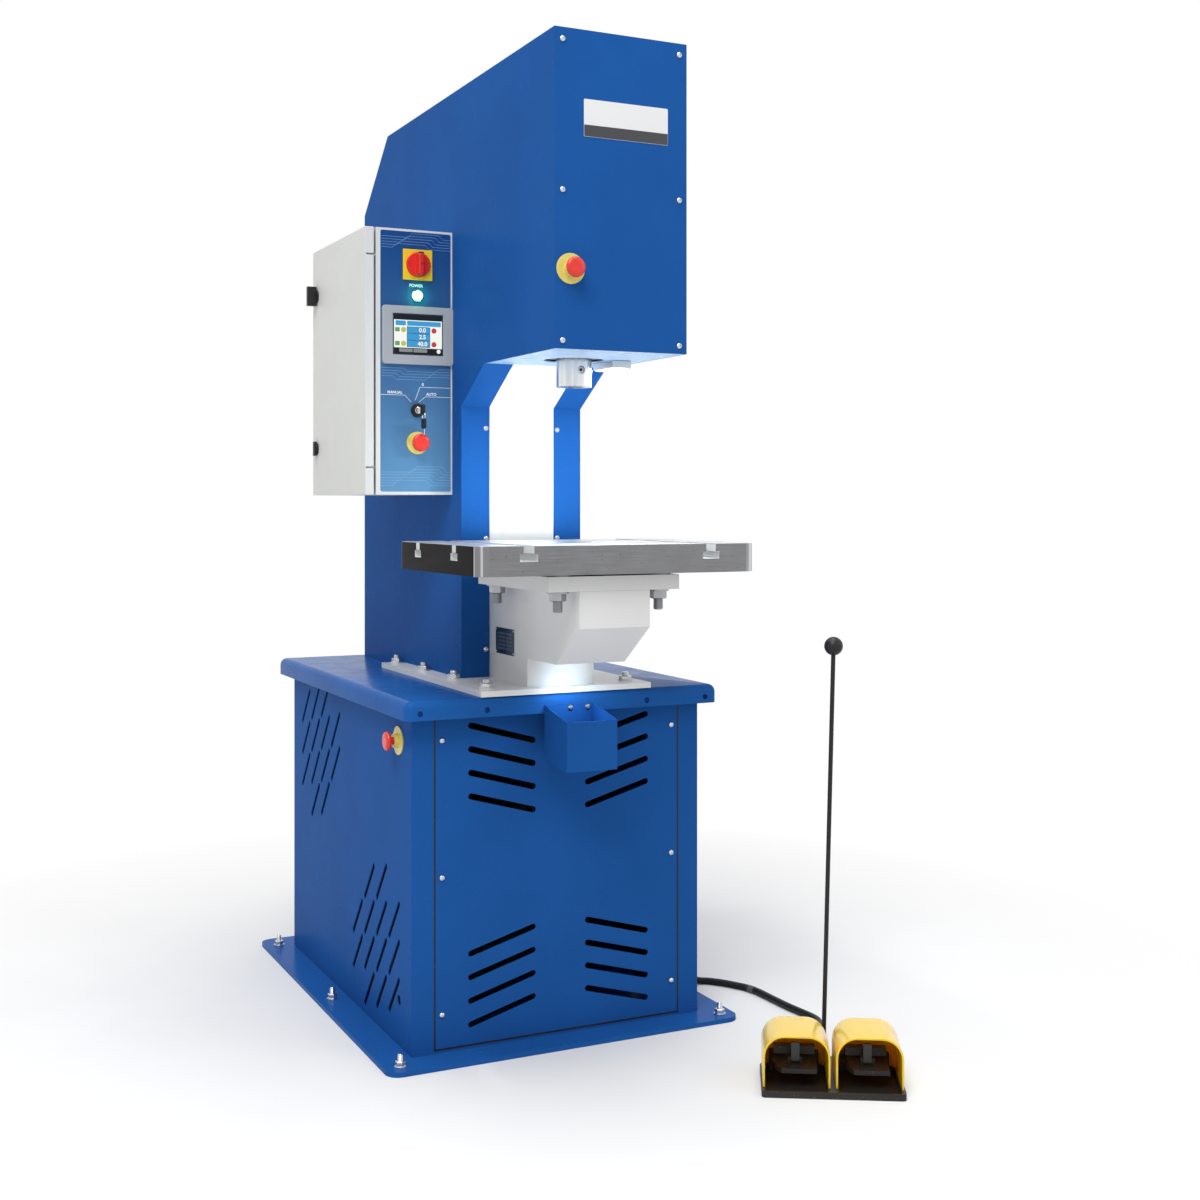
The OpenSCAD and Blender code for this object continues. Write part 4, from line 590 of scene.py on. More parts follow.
class Bench:
    """Hand tools for modelling: each keeps mode and selection tidy."""

    @staticmethod
    def clear() -> None:
        """Deselects everything in object mode."""
        if bpy.context.object and bpy.context.object.mode != "OBJECT":
            bpy.ops.object.mode_set(mode="OBJECT")
        bpy.ops.object.select_all(action="DESELECT")

    @staticmethod
    def only(piece: Piece) -> None:
        """Leaves object mode's selection on one piece.

        Args:
            piece: Piece to select.
        """
        Bench.clear()
        piece.select_set(True)
        bpy.context.view_layer.objects.active = piece

    @staticmethod
    def settle(piece: Piece) -> None:
        """Puts a piece's place, turn and scale into its mesh."""
        Bench.only(piece)
        bpy.ops.object.transform_apply(location=True, rotation=True, scale=True)

    @staticmethod
    def named(name: str) -> Piece:
        """Names the piece that was just added and settles it.

        Args:
            name: Name of the piece.

        Returns:
            The piece.
        """
        piece = bpy.context.object
        piece.name = name
        Bench.settle(piece)
        return piece

    @staticmethod
    def block(name: str, low: Sequence[float], high: Sequence[float]) -> Piece:
        """Adds a box.

        Args:
            name: Name of the piece.
            low: Lowest corner.
            high: Highest corner.

        Returns:
            The new piece.
        """
        low, high = Vector(low), Vector(high)
        Bench.clear()
        bpy.ops.mesh.primitive_cube_add(size=1.0, location=(low + high) / 2)
        bpy.context.object.scale = high - low
        return Bench.named(name)

    @staticmethod
    def slab(
        name: str,
        low: Sequence[float],
        high: Sequence[float],
        ease: float,
        corner: float = 0.0,
        across: str = "y",
        segments: int = 4,
    ) -> Piece:
        """Makes a plate with eased edges and, where a radius is given, round corners.

        Args:
            name: Name of the piece.
            low: Lowest corner.
            high: Highest corner.
            ease: Width of its eased edges.
            corner: Radius of its corners.
            across: Letter of the axis that runs through the plate.
            segments: Segments of a corner.

        Returns:
            The new piece.
        """
        piece = Bench.block(name, low, high)
        if corner:
            Bench.round_edges(piece, runs_along(across), corner, segments)
        Bench.ease(piece, ease)
        return piece

    @staticmethod
    def turned(
        name: str,
        at: Sequence[float],
        axis: Sequence[float],
        profile_mm: Sequence[tuple[float, float]],
        sides: int = 48,
        smooth_deg: float = SMOOTH_DEG,
    ) -> Piece:
        """Makes a turned piece: a disc that is extruded and scaled from one station to the next.

        Args:
            name: Name of the piece.
            at: Point on the axis where the profile's height is zero.
            axis: Direction of the axis.
            profile_mm: Radius and height of each station in millimetres.
            sides: Sides of the round.
            smooth_deg: Angle below which its shading is smooth, or 0 for flat sides.

        Returns:
            The new piece.
        """
        direction = Vector(axis).normalized()
        turn = Vector(UP).rotation_difference(direction)
        (radius, height), *stations = [(wide * MM, high * MM) for wide, high in profile_mm]
        Bench.clear()
        bpy.ops.mesh.primitive_circle_add(
            vertices=sides,
            radius=radius,
            fill_type="NGON",
            location=Vector(at) + direction * height,
            rotation=turn.to_euler(),
        )
        piece = Bench.named(name)
        bpy.ops.object.mode_set(mode="EDIT")
        bpy.ops.mesh.select_all(action="SELECT")
        for next_radius, next_height in stations:
            step = direction * (next_height - height)
            bpy.ops.mesh.extrude_region_move(TRANSFORM_OT_translate={"value": step})
            factor = next_radius / radius
            if abs(factor - 1) > TINY:
                centre = Vector(at) + direction * next_height
                bpy.ops.transform.resize(value=(factor, factor, factor), center_override=centre)
            radius, height = next_radius, next_height
        bpy.ops.mesh.select_all(action="SELECT")
        bpy.ops.mesh.normals_make_consistent(inside=False)
        bpy.ops.object.mode_set(mode="OBJECT")
        if smooth_deg:
            Bench.smooth(piece, smooth_deg)
        return piece

    @staticmethod
    def pick_faces(piece: Piece, test: Test) -> None:
        """Enters edit mode with some faces selected.

        Args:
            piece: Piece to work on.
            test: Test of a face's centre and normal.
        """
        Bench.only(piece)
        bpy.context.tool_settings.mesh_select_mode = (False, False, True)
        mesh = piece.data
        for part in (*mesh.vertices, *mesh.edges):
            part.select = False
        for face in mesh.polygons:
            face.select = test(face.center, face.normal)
        bpy.ops.object.mode_set(mode="EDIT")

    @staticmethod
    def round_edges(piece: Piece, test: Test, radius: float, segments: int = 4) -> None:
        """Rounds some edges.

        Args:
            piece: Piece to work on.
            test: Test of an edge's middle and direction.
            radius: Radius of the round.
            segments: Segments across it.
        """
        Bench.only(piece)
        bpy.context.tool_settings.mesh_select_mode = (False, True, False)
        mesh = piece.data
        for part in (*mesh.vertices, *mesh.polygons):
            part.select = False
        for edge in mesh.edges:
            a, b = (mesh.vertices[k].co for k in edge.vertices)
            edge.select = test((a + b) / 2, (b - a).normalized())
        bpy.ops.object.mode_set(mode="EDIT")
        bpy.ops.mesh.bevel(offset=radius, segments=segments, affect="EDGES")
        bpy.ops.object.mode_set(mode="OBJECT")

    @staticmethod
    def modify(piece: Piece, kind: str, **settings: Any) -> None:
        """Adds a modifier and applies it.

        Args:
            piece: Piece to modify.
            kind: Type of the modifier.
            settings: Attributes to set on it.
        """
        Bench.only(piece)
        modifier = piece.modifiers.new(kind.lower(), kind)
        for key, value in settings.items():
            setattr(modifier, key, value)
        bpy.ops.object.modifier_apply(modifier=modifier.name)

    @staticmethod
    def ease(piece: Piece, width: float, segments: int = 2, angle_deg: float = SMOOTH_DEG) -> None:
        """Takes the sharpness off a piece's edges and smooths its shading.

        Args:
            piece: Piece to ease.
            width: Width of the eased edge.
            segments: Segments across it.
            angle_deg: Least angle of an edge that is eased.
        """
        Bench.only(piece)
        bpy.ops.object.shade_smooth()
        Bench.modify(
            piece,
            "BEVEL",
            width=width,
            segments=segments,
            limit_method="ANGLE",
            angle_limit=math.radians(angle_deg),
            harden_normals=True,
        )

    @staticmethod
    def smooth(piece: Piece, angle_deg: float = SMOOTH_DEG) -> None:
        """Smooths a piece's shading below an angle."""
        Bench.only(piece)
        bpy.ops.object.shade_smooth_by_angle(angle=math.radians(angle_deg))

    @staticmethod
    def join(name: str, pieces: Sequence[Piece]) -> Piece:
        """Joins pieces into one mesh.

        Args:
            name: Name of the result.
            pieces: Pieces to join.

        Returns:
            The joined piece.
        """
        Bench.clear()
        for piece in pieces:
            piece.select_set(True)
        bpy.context.view_layer.objects.active = pieces[0]
        if len(pieces) > 1:
            bpy.ops.object.join()
        pieces[0].name = name
        return pieces[0]

    @staticmethod
    def copies(name: str, model: Piece, places: Iterable[Matrix]) -> Piece:
        """Copies a model to each place, each with its own mesh, and joins them.

        Args:
            name: Name of the result.
            model: Model at the origin. It is used up.
            places: Where each copy goes.

        Returns:
            The joined copies.
        """
        made = []
        for place in places:
            twin = model.copy()
            twin.data = model.data.copy()
            bpy.context.scene.collection.objects.link(twin)
            twin.data.transform(place)
            made.append(twin)
        bpy.data.objects.remove(model)
        return Bench.join(name, made)

    @staticmethod
    def trace(name: str, points: Sequence[Vector], width: float, depth: float) -> Piece:
        """Makes a thin raised line that runs to the right on a face towards the front.

        Args:
            name: Name of the piece.
            points: Corners of the line's route.
            width: Width of the line.
            depth: Height of the line above the face.

        Returns:
            The new piece.
        """
        out = Vector((0, -depth, -width / 2))
        piece = Bench.block(name, points[0] + out, points[1] + Vector((0, 0, width / 2)))
        Bench.pick_faces(piece, lambda mid, normal: normal.x > PARALLEL)
        for here, there in zip(points[1:], points[2:]):
            bpy.ops.mesh.extrude_region_move(TRANSFORM_OT_translate={"value": there - here})
        bpy.ops.object.mode_set(mode="OBJECT")
        return piece

    @staticmethod
    def lettering(name: str, words: str, size: float, at: Sequence[float]) -> Piece:
        """Writes words on a face that looks towards the front.

        Args:
            name: Name of the piece.
            words: What it says.
            size: Height of the letters.
            at: Middle of the words.

        Returns:
            The words as a thin mesh.
        """
        weight, half_thickness = 0.025 * size, 0.1 * MM
        Bench.clear()
        bpy.ops.object.text_add(location=ORIGIN)
        text = bpy.context.object
        text.name = name
        text.data.body = words
        text.data.size = size
        text.data.offset = weight
        text.data.align_x = "CENTER"
        text.data.align_y = "CENTER"
        text.data.extrude = half_thickness
        bpy.ops.object.convert(target="MESH")
        piece = bpy.context.object
        piece.data.transform(Matrix.Translation(Vector(at)) @ Matrix.Rotation(math.pi / 2, 4, "X"))
        return piece


@dataclass
class Press:
    """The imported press: its nodes, its record and the finishes that its pieces take."""

    frame: dict[str, Any]
    finishes: dict[str, bpy.types.Material] = field(default_factory=dict)

    def __post_init__(self) -> None:
        """Notes each node's body and material slot."""
        record = self.frame["record"]
        self.slots = {part["node"]: Slot(part["material_slot"]) for part in record["subparts"]}
        bodies = record["behaviour"]["bodies"]
        self.bodies = {node: body for body, nodes in bodies.items() for node in nodes}

    def wear(self, piece: Piece, spec: Finish) -> None:
        """Gives a whole piece one finish, whose material is made once.

        Args:
            piece: Piece to dress.
            spec: Finish that it wears.
        """
        if spec.name not in self.finishes:
            self.finishes[spec.name] = spec.make()
        piece.data.materials.clear()
        piece.data.materials.append(self.finishes[spec.name])

    def adopt(
        self, piece: Piece, slot: Slot, spec: Finish, stands_for: Sequence[str] = (), body: str = MACHINE
    ) -> None:
        """Makes a piece part of the press.

        Args:
            piece: Finished piece, in place.
            slot: Material slot that it belongs to; not used.
            spec: Finish that it wears.
            stands_for: Nodes that it replaces.
            body: Body that it rides on.
        """
        self.wear(piece, spec)
        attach(piece, body)
        if stands_for:
            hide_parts(*stands_for)
        LOG.info("%s rides on %s", piece.name, body)

    def copy_of(self, node: str) -> Piece:
        """A merged copy of a node's solid, with its flat faces whole.

        Args:
            node: Node to copy.

        Returns:
            The copy, in place.
        """
        source = self.frame["nodes"][node]
        piece = bpy.data.objects.new(f"{node}_finished", source.data.copy())
        bpy.context.scene.collection.objects.link(piece)
        Bench.only(piece)
        bpy.ops.object.mode_set(mode="EDIT")
        bpy.ops.mesh.select_all(action="SELECT")
        bpy.ops.mesh.remove_doubles(threshold=TINY)
        bpy.ops.mesh.customdata_custom_splitnormals_clear()
        bpy.ops.mesh.dissolve_limited(angle_limit=math.radians(FLAT_DEG))
        bpy.ops.object.mode_set(mode="OBJECT")
        return piece

    def islands(self, node: str) -> list[Box]:
        """Boxes of a node's separate solids.

        Args:
            node: Node with several solids.

        Returns:
            Lowest and highest corner of each.
        """
        Bench.only(self.copy_of(node))
        bpy.ops.mesh.separate(type="LOOSE")
        boxes = []
        for part in list(bpy.context.selected_objects):
            corners = [vertex.co for vertex in part.data.vertices]
            low = Vector(min(c[k] for c in corners) for k in range(3))
            high = Vector(max(c[k] for c in corners) for k in range(3))
            boxes.append((low, high))
            bpy.data.objects.remove(part)
        return boxes


BLUE = Coating(
    "blue_powder_coat", (0.0135, 0.089, 0.322), 0.24, 2.4, 0.012, mottling=0.05, specular=0.005, dust=0.03
)
# Same blue paint a little lighter, for the tray top and the base plate: painted light on top faces.
TOP_LIT_BLUE = Coating(
    "blue_powder_coat_lit_tops", (0.0135, 0.096, 0.34), 0.24, 2.4, 0.012, mottling=0.05, specular=0.024, dust=0.03
)
# Blue paint made pale for the head's underside: painted reflection of the lit table below.
UNDERSIDE_GLARE_BLUE = Coating(
    "blue_coat_painted_glare", (0.30, 0.45, 0.64), 0.3, 2.4, 0.012, mottling=0.05, specular=0.1, dust=0.03
)
WHITE = Coating(
    "white_frame_paint", (0.72, 0.725, 0.72), 0.36, 1.8, 0.03, mottling=0.03, specular=0.45, coat=0.05,
    dust=0.04,
)
GREY = Coating("grey_cabinet_paint", (0.66, 0.67, 0.65), 0.45, 0.9, 0.02, mottling=0.02, specular=0.4)
BLACK = Coating(
    "black_moulding", (0.012, 0.012, 0.013), 0.42, 0.7, 0.03, mottling=0.1, specular=0.3, dust=0.1
)
# Black moulding with heavy mottling and pale specks: dust and painted glints.
DUSTY_GLINT_BLACK = Coating(
    "black_moulding_dust_and_glints", (0.024, 0.021, 0.019), 0.36, 1.6, 0.09, mottling=0.25, specular=0.3, dust=0.2
)
YELLOW = Coating("yellow_moulding", (0.88, 0.58, 0.012), 0.24, 3.0, 0.008, mottling=0.04, coat=0.3)
HOOD = Coating(
    "hood_moulding", (0.88, 0.58, 0.012), 0.24, 3.0, 0.008, mottling=0.04, coat=0.3, soak_mm=8.0
)
LEMON = Coating("lemon_disc", (0.70, 0.60, 0.15), 0.3, 2.0, 0.008, mottling=0.04, coat=0.1)
RED = Coating("red_moulding", (0.70, 0.022, 0.012), 0.26, 2.0, 0.008, mottling=0.05, coat=0.2)
GREY_PLASTIC = Coating("grey_moulding", (0.37, 0.39, 0.415), 0.42, 0.6, 0.015, mottling=0.03, specular=0.3)
TAB_GREY = Coating("tab_moulding", (0.045, 0.05, 0.052), 0.42, 0.6, 0.015, mottling=0.05)
LIGHT_PLASTIC = Coating("light_moulding", (0.72, 0.71, 0.66), 0.5, 0.8, 0.02, mottling=0.04)
HOSE = Coating("hose_rubber", (0.011, 0.011, 0.012), 0.4, 0.6, 0.05, mottling=0.12, specular=0.2, dust=0.1)
DARK = Coating("dark_unit_paint", (0.045, 0.05, 0.056), 0.4, 2.0, 0.03, mottling=0.08)
PLATE = Coating("plate_blue_black", (0.012, 0.022, 0.045), 0.3, 0.8, 0.01)
BLANK = Coating("plate_white", (0.73, 0.735, 0.74), 0.3, 1.2, 0.006, mottling=0.02, specular=0.2)
BAND = Coating("plate_band", (0.025, 0.027, 0.032), 0.32, 1.2, 0.006, mottling=0.05, coat=0.2)
PRINT = Coating("white_print", (0.80, 0.83, 0.87), 0.45, 0.8, 0.004, mottling=0.02)
LINE = Coating("line_print", (0.30, 0.48, 0.72), 0.45, 0.8, 0.004, mottling=0.02, specular=0.15)
FIELD = Coating("plate_field", (0.06, 0.09, 0.13), 0.4, 0.8, 0.006, specular=0.3)
TAPE = Coating("grey_band", (0.085, 0.088, 0.092), 0.45, 0.8, 0.02, specular=0.3)
RIM = Coating("screen_rim", (0.03, 0.032, 0.035), 0.3, 0.8, 0.006, mottling=0.05)
ZINC = Metal("bright_zinc", (0.66, 0.67, 0.68), 0.28, Grain.NONE, 1.0, 0.01, stain=0.1)
GROUND = Metal("ground_steel", (0.80, 0.81, 0.82), 0.3, Grain.ALONG_Z, 5.0, 0.01, stain=0.06)
STUD = Metal("dull_zinc", (0.40, 0.41, 0.42), 0.32, Grain.NONE, 1.0, 0.01, stain=0.12)
STEEL = Metal("turned_steel", (0.52, 0.52, 0.53), 0.26, Grain.TURNED, 0.8, 0.01, stain=0.1)
CHROME = Metal("bright_ring", (0.74, 0.75, 0.76), 0.12, Grain.TURNED, 0.6, 0.004, stain=0.05)
LAMP = Metal("lamp_housing", (0.70, 0.71, 0.72), 0.34, Grain.ALONG_Y, 0.7, 0.01, stain=0.05)
CAST = Metal("cast_housing", (0.34, 0.35, 0.36), 0.5, Grain.NONE, 1.6, 0.08)
GREEN = Glow("green_lens_glow", (0.5, 1.0, 0.7), 2.0)
LENS = Glow("lamp_lens_glow", (0.86, 0.94, 1.0), 14.0)
SCREEN = Glow("screen_pale", (0.84, 0.86, 0.80), 1.0)
SCREEN_BLUE = Glow("screen_blue", (0.05, 0.34, 0.66), 0.9)
SCREEN_DARK = Glow("screen_dark", (0.02, 0.025, 0.03), 0.6)
SCREEN_RED = Glow("screen_red", (0.55, 0.05, 0.06), 0.9)
SCREEN_GREEN = Glow("screen_green", (0.14, 0.36, 0.14), 0.9)
SCREEN_LIME = Glow("screen_lime", (0.50, 0.54, 0.12), 0.9)
SCREEN_GREY = Glow("screen_grey", (0.24, 0.26, 0.26), 0.9)

SLOT_FINISH: dict[Slot, Finish] = {
    Slot.BLUE: BLUE,
    Slot.WHITE: WHITE,
    Slot.GREY: GREY,
    Slot.STEEL: STEEL,
    Slot.ZINC: ZINC,
    Slot.LAMP: LAMP,
    Slot.GREY_PLASTIC: GREY_PLASTIC,
    Slot.LIGHT_PLASTIC: LIGHT_PLASTIC,
    Slot.BLACK: BLACK,
    Slot.YELLOW: YELLOW,
    Slot.RED: RED,
    Slot.GREEN: GREEN,
    Slot.HOSE: HOSE,
    Slot.DARK: DARK,
    Slot.CAST: CAST,
}


@dataclass(frozen=True)
class Light:
    """An area light: its sides, its power and its tint, and whether the camera and gloss show it."""

    name: str
    size: tuple[float, float]
    watts: float
    tint: Triple = (1.0, 1.0, 1.0)
    seen: bool = False
    mirrored: bool = True

    def hang(self, at: Vector, toward: Vector) -> None:
        """Adds the light to the scene.

        Args:
            at: Where it sits.
            toward: Direction that it faces.
        """
        data = bpy.data.lights.new(self.name, "AREA")
        data.shape = "RECTANGLE"
        data.size, data.size_y = self.size
        data.energy = self.watts
        data.color = self.tint
        lamp = bpy.data.objects.new(self.name, data)
        lamp.location = at
        lamp.rotation_euler = toward.to_track_quat("-Z", "Y").to_euler()
        lamp.visible_camera = self.seen
        lamp.visible_glossy = self.mirrored
        bpy.context.scene.collection.objects.link(lamp)


def background_rays(tree: bpy.types.NodeTree) -> Socket:
    """Tells the rays that show the background from those that only carry its light.

    Args:
        tree: Node tree of a material or world.

    Returns:
        An output that is 1 for rays of the camera, of gloss and of glass.
    """
    path = tree.nodes.new("ShaderNodeLightPath")
    seen = path.outputs["Is Camera Ray"]
    for ray in ("Is Glossy Ray", "Is Transmission Ray"):
        node = tree.nodes.new("ShaderNodeMath")
        node.operation = "MAXIMUM"
        tree.links.new(seen, node.inputs[0])
        tree.links.new(path.outputs[ray], node.inputs[1])
        seen = node.outputs[0]
    return seen


@dataclass
class Studio:
    """Pale floor that turns white with distance, soft light and the camera at the photo's place."""

    position: Triple = (-1.3858, -3.4917, 1.1418)
    yaw_deg: float = -26.0
    focal_px: float = 1563.7
    horizon_px: float = 502.5
    frame_px: float = 1200.0
    sensor_mm: float = 36.0
    floor_half: float = 14.0
    floor_tones: tuple[Triple, Triple] = ((0.80, 0.80, 0.80), (0.83, 0.83, 0.83))
    floor_roughness: float = 0.9
    haze_cell: float = 0.4
    shadow_reach: float = 0.8
    white_reach: float = 1.9
    sky_level: float = 0.55
    aim: Triple = (0.0, -0.3, 1.0)
    softboxes: tuple[tuple[Light, Triple], ...] = (
        (Light("key_light", (2.6, 2.6), 155.0, seen=True), (-2.4, -3.0, 5.0)),
        (Light("fill_light", (2.6, 2.6), 22.0, seen=True), (3.4, -3.8, 3.2)),
        (Light("top_light", (3.0, 3.0), 135.0, seen=True), (0.0, -0.4, 5.4)),
    )

    def camera(self) -> None:
        """Sets up the camera."""
        data = bpy.data.cameras.new("photo_camera")
        data.sensor_width = self.sensor_mm
        data.lens = self.sensor_mm * self.focal_px / self.frame_px
        data.shift_y = (self.horizon_px - self.frame_px / 2) / self.frame_px
        eye = bpy.data.objects.new("photo_camera", data)
        eye.location = self.position
        eye.rotation_euler = (math.pi / 2, 0.0, math.radians(self.yaw_deg))
        bpy.context.scene.collection.objects.link(eye)
        bpy.context.scene.camera = eye

    def floor(self) -> None:
        """Lays a pale floor that keeps the shadow near the press and turns white further out."""
        Bench.clear()
        bpy.ops.mesh.primitive_plane_add(size=2 * self.floor_half, location=ORIGIN)
        ground = Bench.named("studio_floor")
        bench = NodeBench("studio_floor")
        haze = bench.remap(bench.noise(self.haze_cell), (0.3, 0.7))
        bench.color(bench.mix(haze, *self.floor_tones))
        bench.put(Roughness=self.floor_roughness, Specular_IOR_Level=0.0)
        away = bench.add("ShaderNodeVectorMath", operation="LENGTH")
        bench.wire(bench.coords, away.inputs[0])
        far = bench.remap(away.outputs["Value"], (self.shadow_reach, self.white_reach))
        glow = bench.add("ShaderNodeEmission")
        blend = bench.add("ShaderNodeMixShader")
        bench.wire(bench.math("MULTIPLY", background_rays(bench.tree), far), blend.inputs[0])
        bench.wire(bench.shader.outputs[0], blend.inputs[1])
        bench.wire(glow.outputs[0], blend.inputs[2])
        bench.wire(blend.outputs[0], bench.tree.nodes["Material Output"].inputs["Surface"])
        ground.data.materials.append(bench.material)

    def sky(self) -> None:
        """Fills the background with white, and lights the press with a lower level of it."""
        world = bpy.data.worlds.new("studio_sky")
        bpy.context.scene.world = world
        world.use_nodes = True
        tree = world.node_tree
        back = tree.nodes["Background"]
        back.inputs["Color"].default_value = (1.0, 1.0, 1.0, 1.0)
        level = tree.nodes.new("ShaderNodeMapRange")
        level.inputs["To Min"].default_value = self.sky_level
        level.inputs["To Max"].default_value = 1.0
        tree.links.new(background_rays(tree), level.inputs["Value"])
        tree.links.new(level.outputs["Result"], back.inputs["Strength"])

    def build(self) -> None:
        """Sets up the whole studio."""
        bpy.context.scene.view_settings.view_transform = "Standard"
        self.camera()
        self.floor()
        self.sky()
        for light, at in self.softboxes:
            light.hang(Vector(at), Vector(self.aim) - Vector(at))


@dataclass
class Shell:
    """Sheet metal, plates and castings: the solids, with their edges eased as folded sheet has them.

    The fields of side vents are in millimetres from the cabinet's lowest and highest corner.
    """

    press: Press
    eased_mm: dict[str, float] = field(
        default_factory=lambda: {
            "base_plate": 1.5,
            "base_cabinet": 0.8,
            "front_panel": 0.8,
            "rear_panel": 0.8,
            "foot_flange": 1.2,
            "frame_left_plate": 1.0,
            "frame_right_plate": 1.0,
            "frame_webs": 0.8,
            "bed_nose": 0.8,
            "drop_deflector": 0.8,
            "bed_flange": 1.0,
            "catch_box": 0.6,
            "left_cover": 0.9,
            "right_cover": 0.9,
            "rear_cover": 0.9,
            "head_front_cover": 0.9,
            "head_bottom_cover": 0.9,
            "cylinder_gland": 1.0,
            "work_lamp": 1.5,
            "cabinet_box": 0.7,
            "cabinet_door": 0.7,
            "main_switch_plate": 1.2,
            "estop_bases": 0.5,
            "upper_latch": 1.5,
            "lower_latch": 1.2,
            "ram": 1.2,
            "footswitch_base": 1.5,
            "left_pedal": 1.0,
            "right_pedal": 1.0,
            "left_pedal_latch": 1.0,
            "right_pedal_latch": 1.0,
            "cable_glands": 0.8,
            "pump_motor": 0.8,
            "valve_block": 1.0,
        }
    )
    special: dict[str, Finish] = field(
        default_factory=lambda: {
            "estop_bases": LEMON,
            "left_pedal_latch": TAB_GREY,
            "right_pedal_latch": TAB_GREY,
            "left_pedal": DUSTY_GLINT_BLACK,
            "right_pedal": DUSTY_GLINT_BLACK,
            "footswitch_base": DUSTY_GLINT_BLACK,
            "ram": GROUND,
            # The base plate wears the lighter blue: painted light on a top face.
            "base_plate": TOP_LIT_BLUE,
            # The head's underside wears the pale blue: painted reflection.
            "head_bottom_cover": UNDERSIDE_GLARE_BLUE,
        }
    )
    table_ease: float = 0.8 * MM
    mat_gap: float = 5 * MM
    mat_thickness: float = 7 * MM
    mat_inset: float = 30 * MM
    mat_ease: float = 1.5 * MM
    lower_vents: tuple[Triple, Triple] = ((0, 66, 56), (0, 412, 390))
    upper_vents: tuple[Triple, Triple] = ((0, -412, -386), (0, -66, -10))
    gap_shade_half: float = 1.9 * MM
    gap_shade_proud: float = 0.4 * MM
    gap_shade_depth: float = 0.8 * MM
    gap_shade_ease: float = 0.15 * MM

    def solids(self) -> None:
        """Gives every solid its finish and replaces the sheets and castings by eased copies."""
        for node, solid in self.press.frame["nodes"].items():
            self.press.wear(solid, SLOT_FINISH[self.press.slots[node]])
        for node, width in self.eased_mm.items():
            piece = self.press.copy_of(node)
            Bench.ease(piece, width * MM)
            slot = self.press.slots[node]
            finish = self.special.get(node, SLOT_FINISH[slot])
            self.press.adopt(piece, slot, finish, [node], self.press.bodies[node])

    def tray(self) -> None:
        """Tray top, which has its round rim already."""
        tray = self.press.copy_of("tray_top")
        Bench.smooth(tray)
        # The tray top wears the lighter blue: painted light on a top face.
        self.press.adopt(tray, Slot.BLUE, TOP_LIT_BLUE, ["tray_top"])

    def table(self) -> None:
        """Slotted table, whose finish follows its faces."""
        table = self.press.copy_of("table")
        Bench.ease(table, self.table_ease)
        low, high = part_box("table")
        steel = TableSteel("table_steel", high.x, (high.y - low.y) / 2, high.z, (low.y + high.y) / 2)
        self.press.adopt(table, Slot.STEEL, steel, ["table"])

    def mats(self) -> None:
        """Dark mats behind the vents of the rear panel and of both side walls: painted shade of the
        cabinet's inside.
        """
        gap, thick, inset = self.mat_gap, self.mat_thickness, self.mat_inset
        low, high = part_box("rear_panel")
        boxes = {
            "rear_vent_shade_mat": (
                (low.x + inset, low.y - gap - thick, low.z + inset),
                (high.x - inset, low.y - gap, high.z - inset),
            ),
        }
        low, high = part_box("base_cabinet")
        levels = {"lower": (low, self.lower_vents), "upper": (high, self.upper_vents)}
        for side, x in (("left", low.x + gap), ("right", high.x - gap - thick)):
            for level, (corner, offsets) in levels.items():
                foot, head = (Vector((x, corner.y, corner.z)) + mm(*offset) for offset in offsets)
                boxes[f"{side}_{level}_mat"] = (foot, head + Vector((thick, 0, 0)))
        for name, corners in boxes.items():
            self.press.adopt(Bench.slab(name, *corners, self.mat_ease), Slot.BLACK, BLACK)

    def gap_shade_strip(self) -> None:
        """Dark strip in the gap round the front panel, a little proud of its face: painted shade of the
        groove there.
        """
        low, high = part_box("front_panel")
        half = self.gap_shade_half
        foot, front, back = low.z - half, low.y - self.gap_shade_proud, low.y + self.gap_shade_depth
        strips = [
            Bench.block("gap_shade_left", (low.x - half, front, foot), (low.x + half, back, high.z)),
            Bench.block("gap_shade_right", (high.x - half, front, foot), (high.x + half, back, high.z)),
            Bench.block("gap_shade_foot", (low.x + half, front, foot), (high.x - half, back, low.z + half)),
        ]
        gap_shade_strip = Bench.join("panel_gap_shade", strips)
        Bench.ease(gap_shade_strip, self.gap_shade_ease)
        self.press.adopt(gap_shade_strip, Slot.BLACK, BLACK)

    def build(self) -> None:
        """Finishes every solid of the press."""
        self.solids()
        self.tray()
        self.table()
        self.mats()
        self.gap_shade_strip()


@dataclass(frozen=True)
class BoltSize:
    """Sizes of a bolt or stud with its washer and hexagon, in millimetres."""

    washer_r: float
    washer_t: float
    flats: float
    thread_r: float
    pitch: float


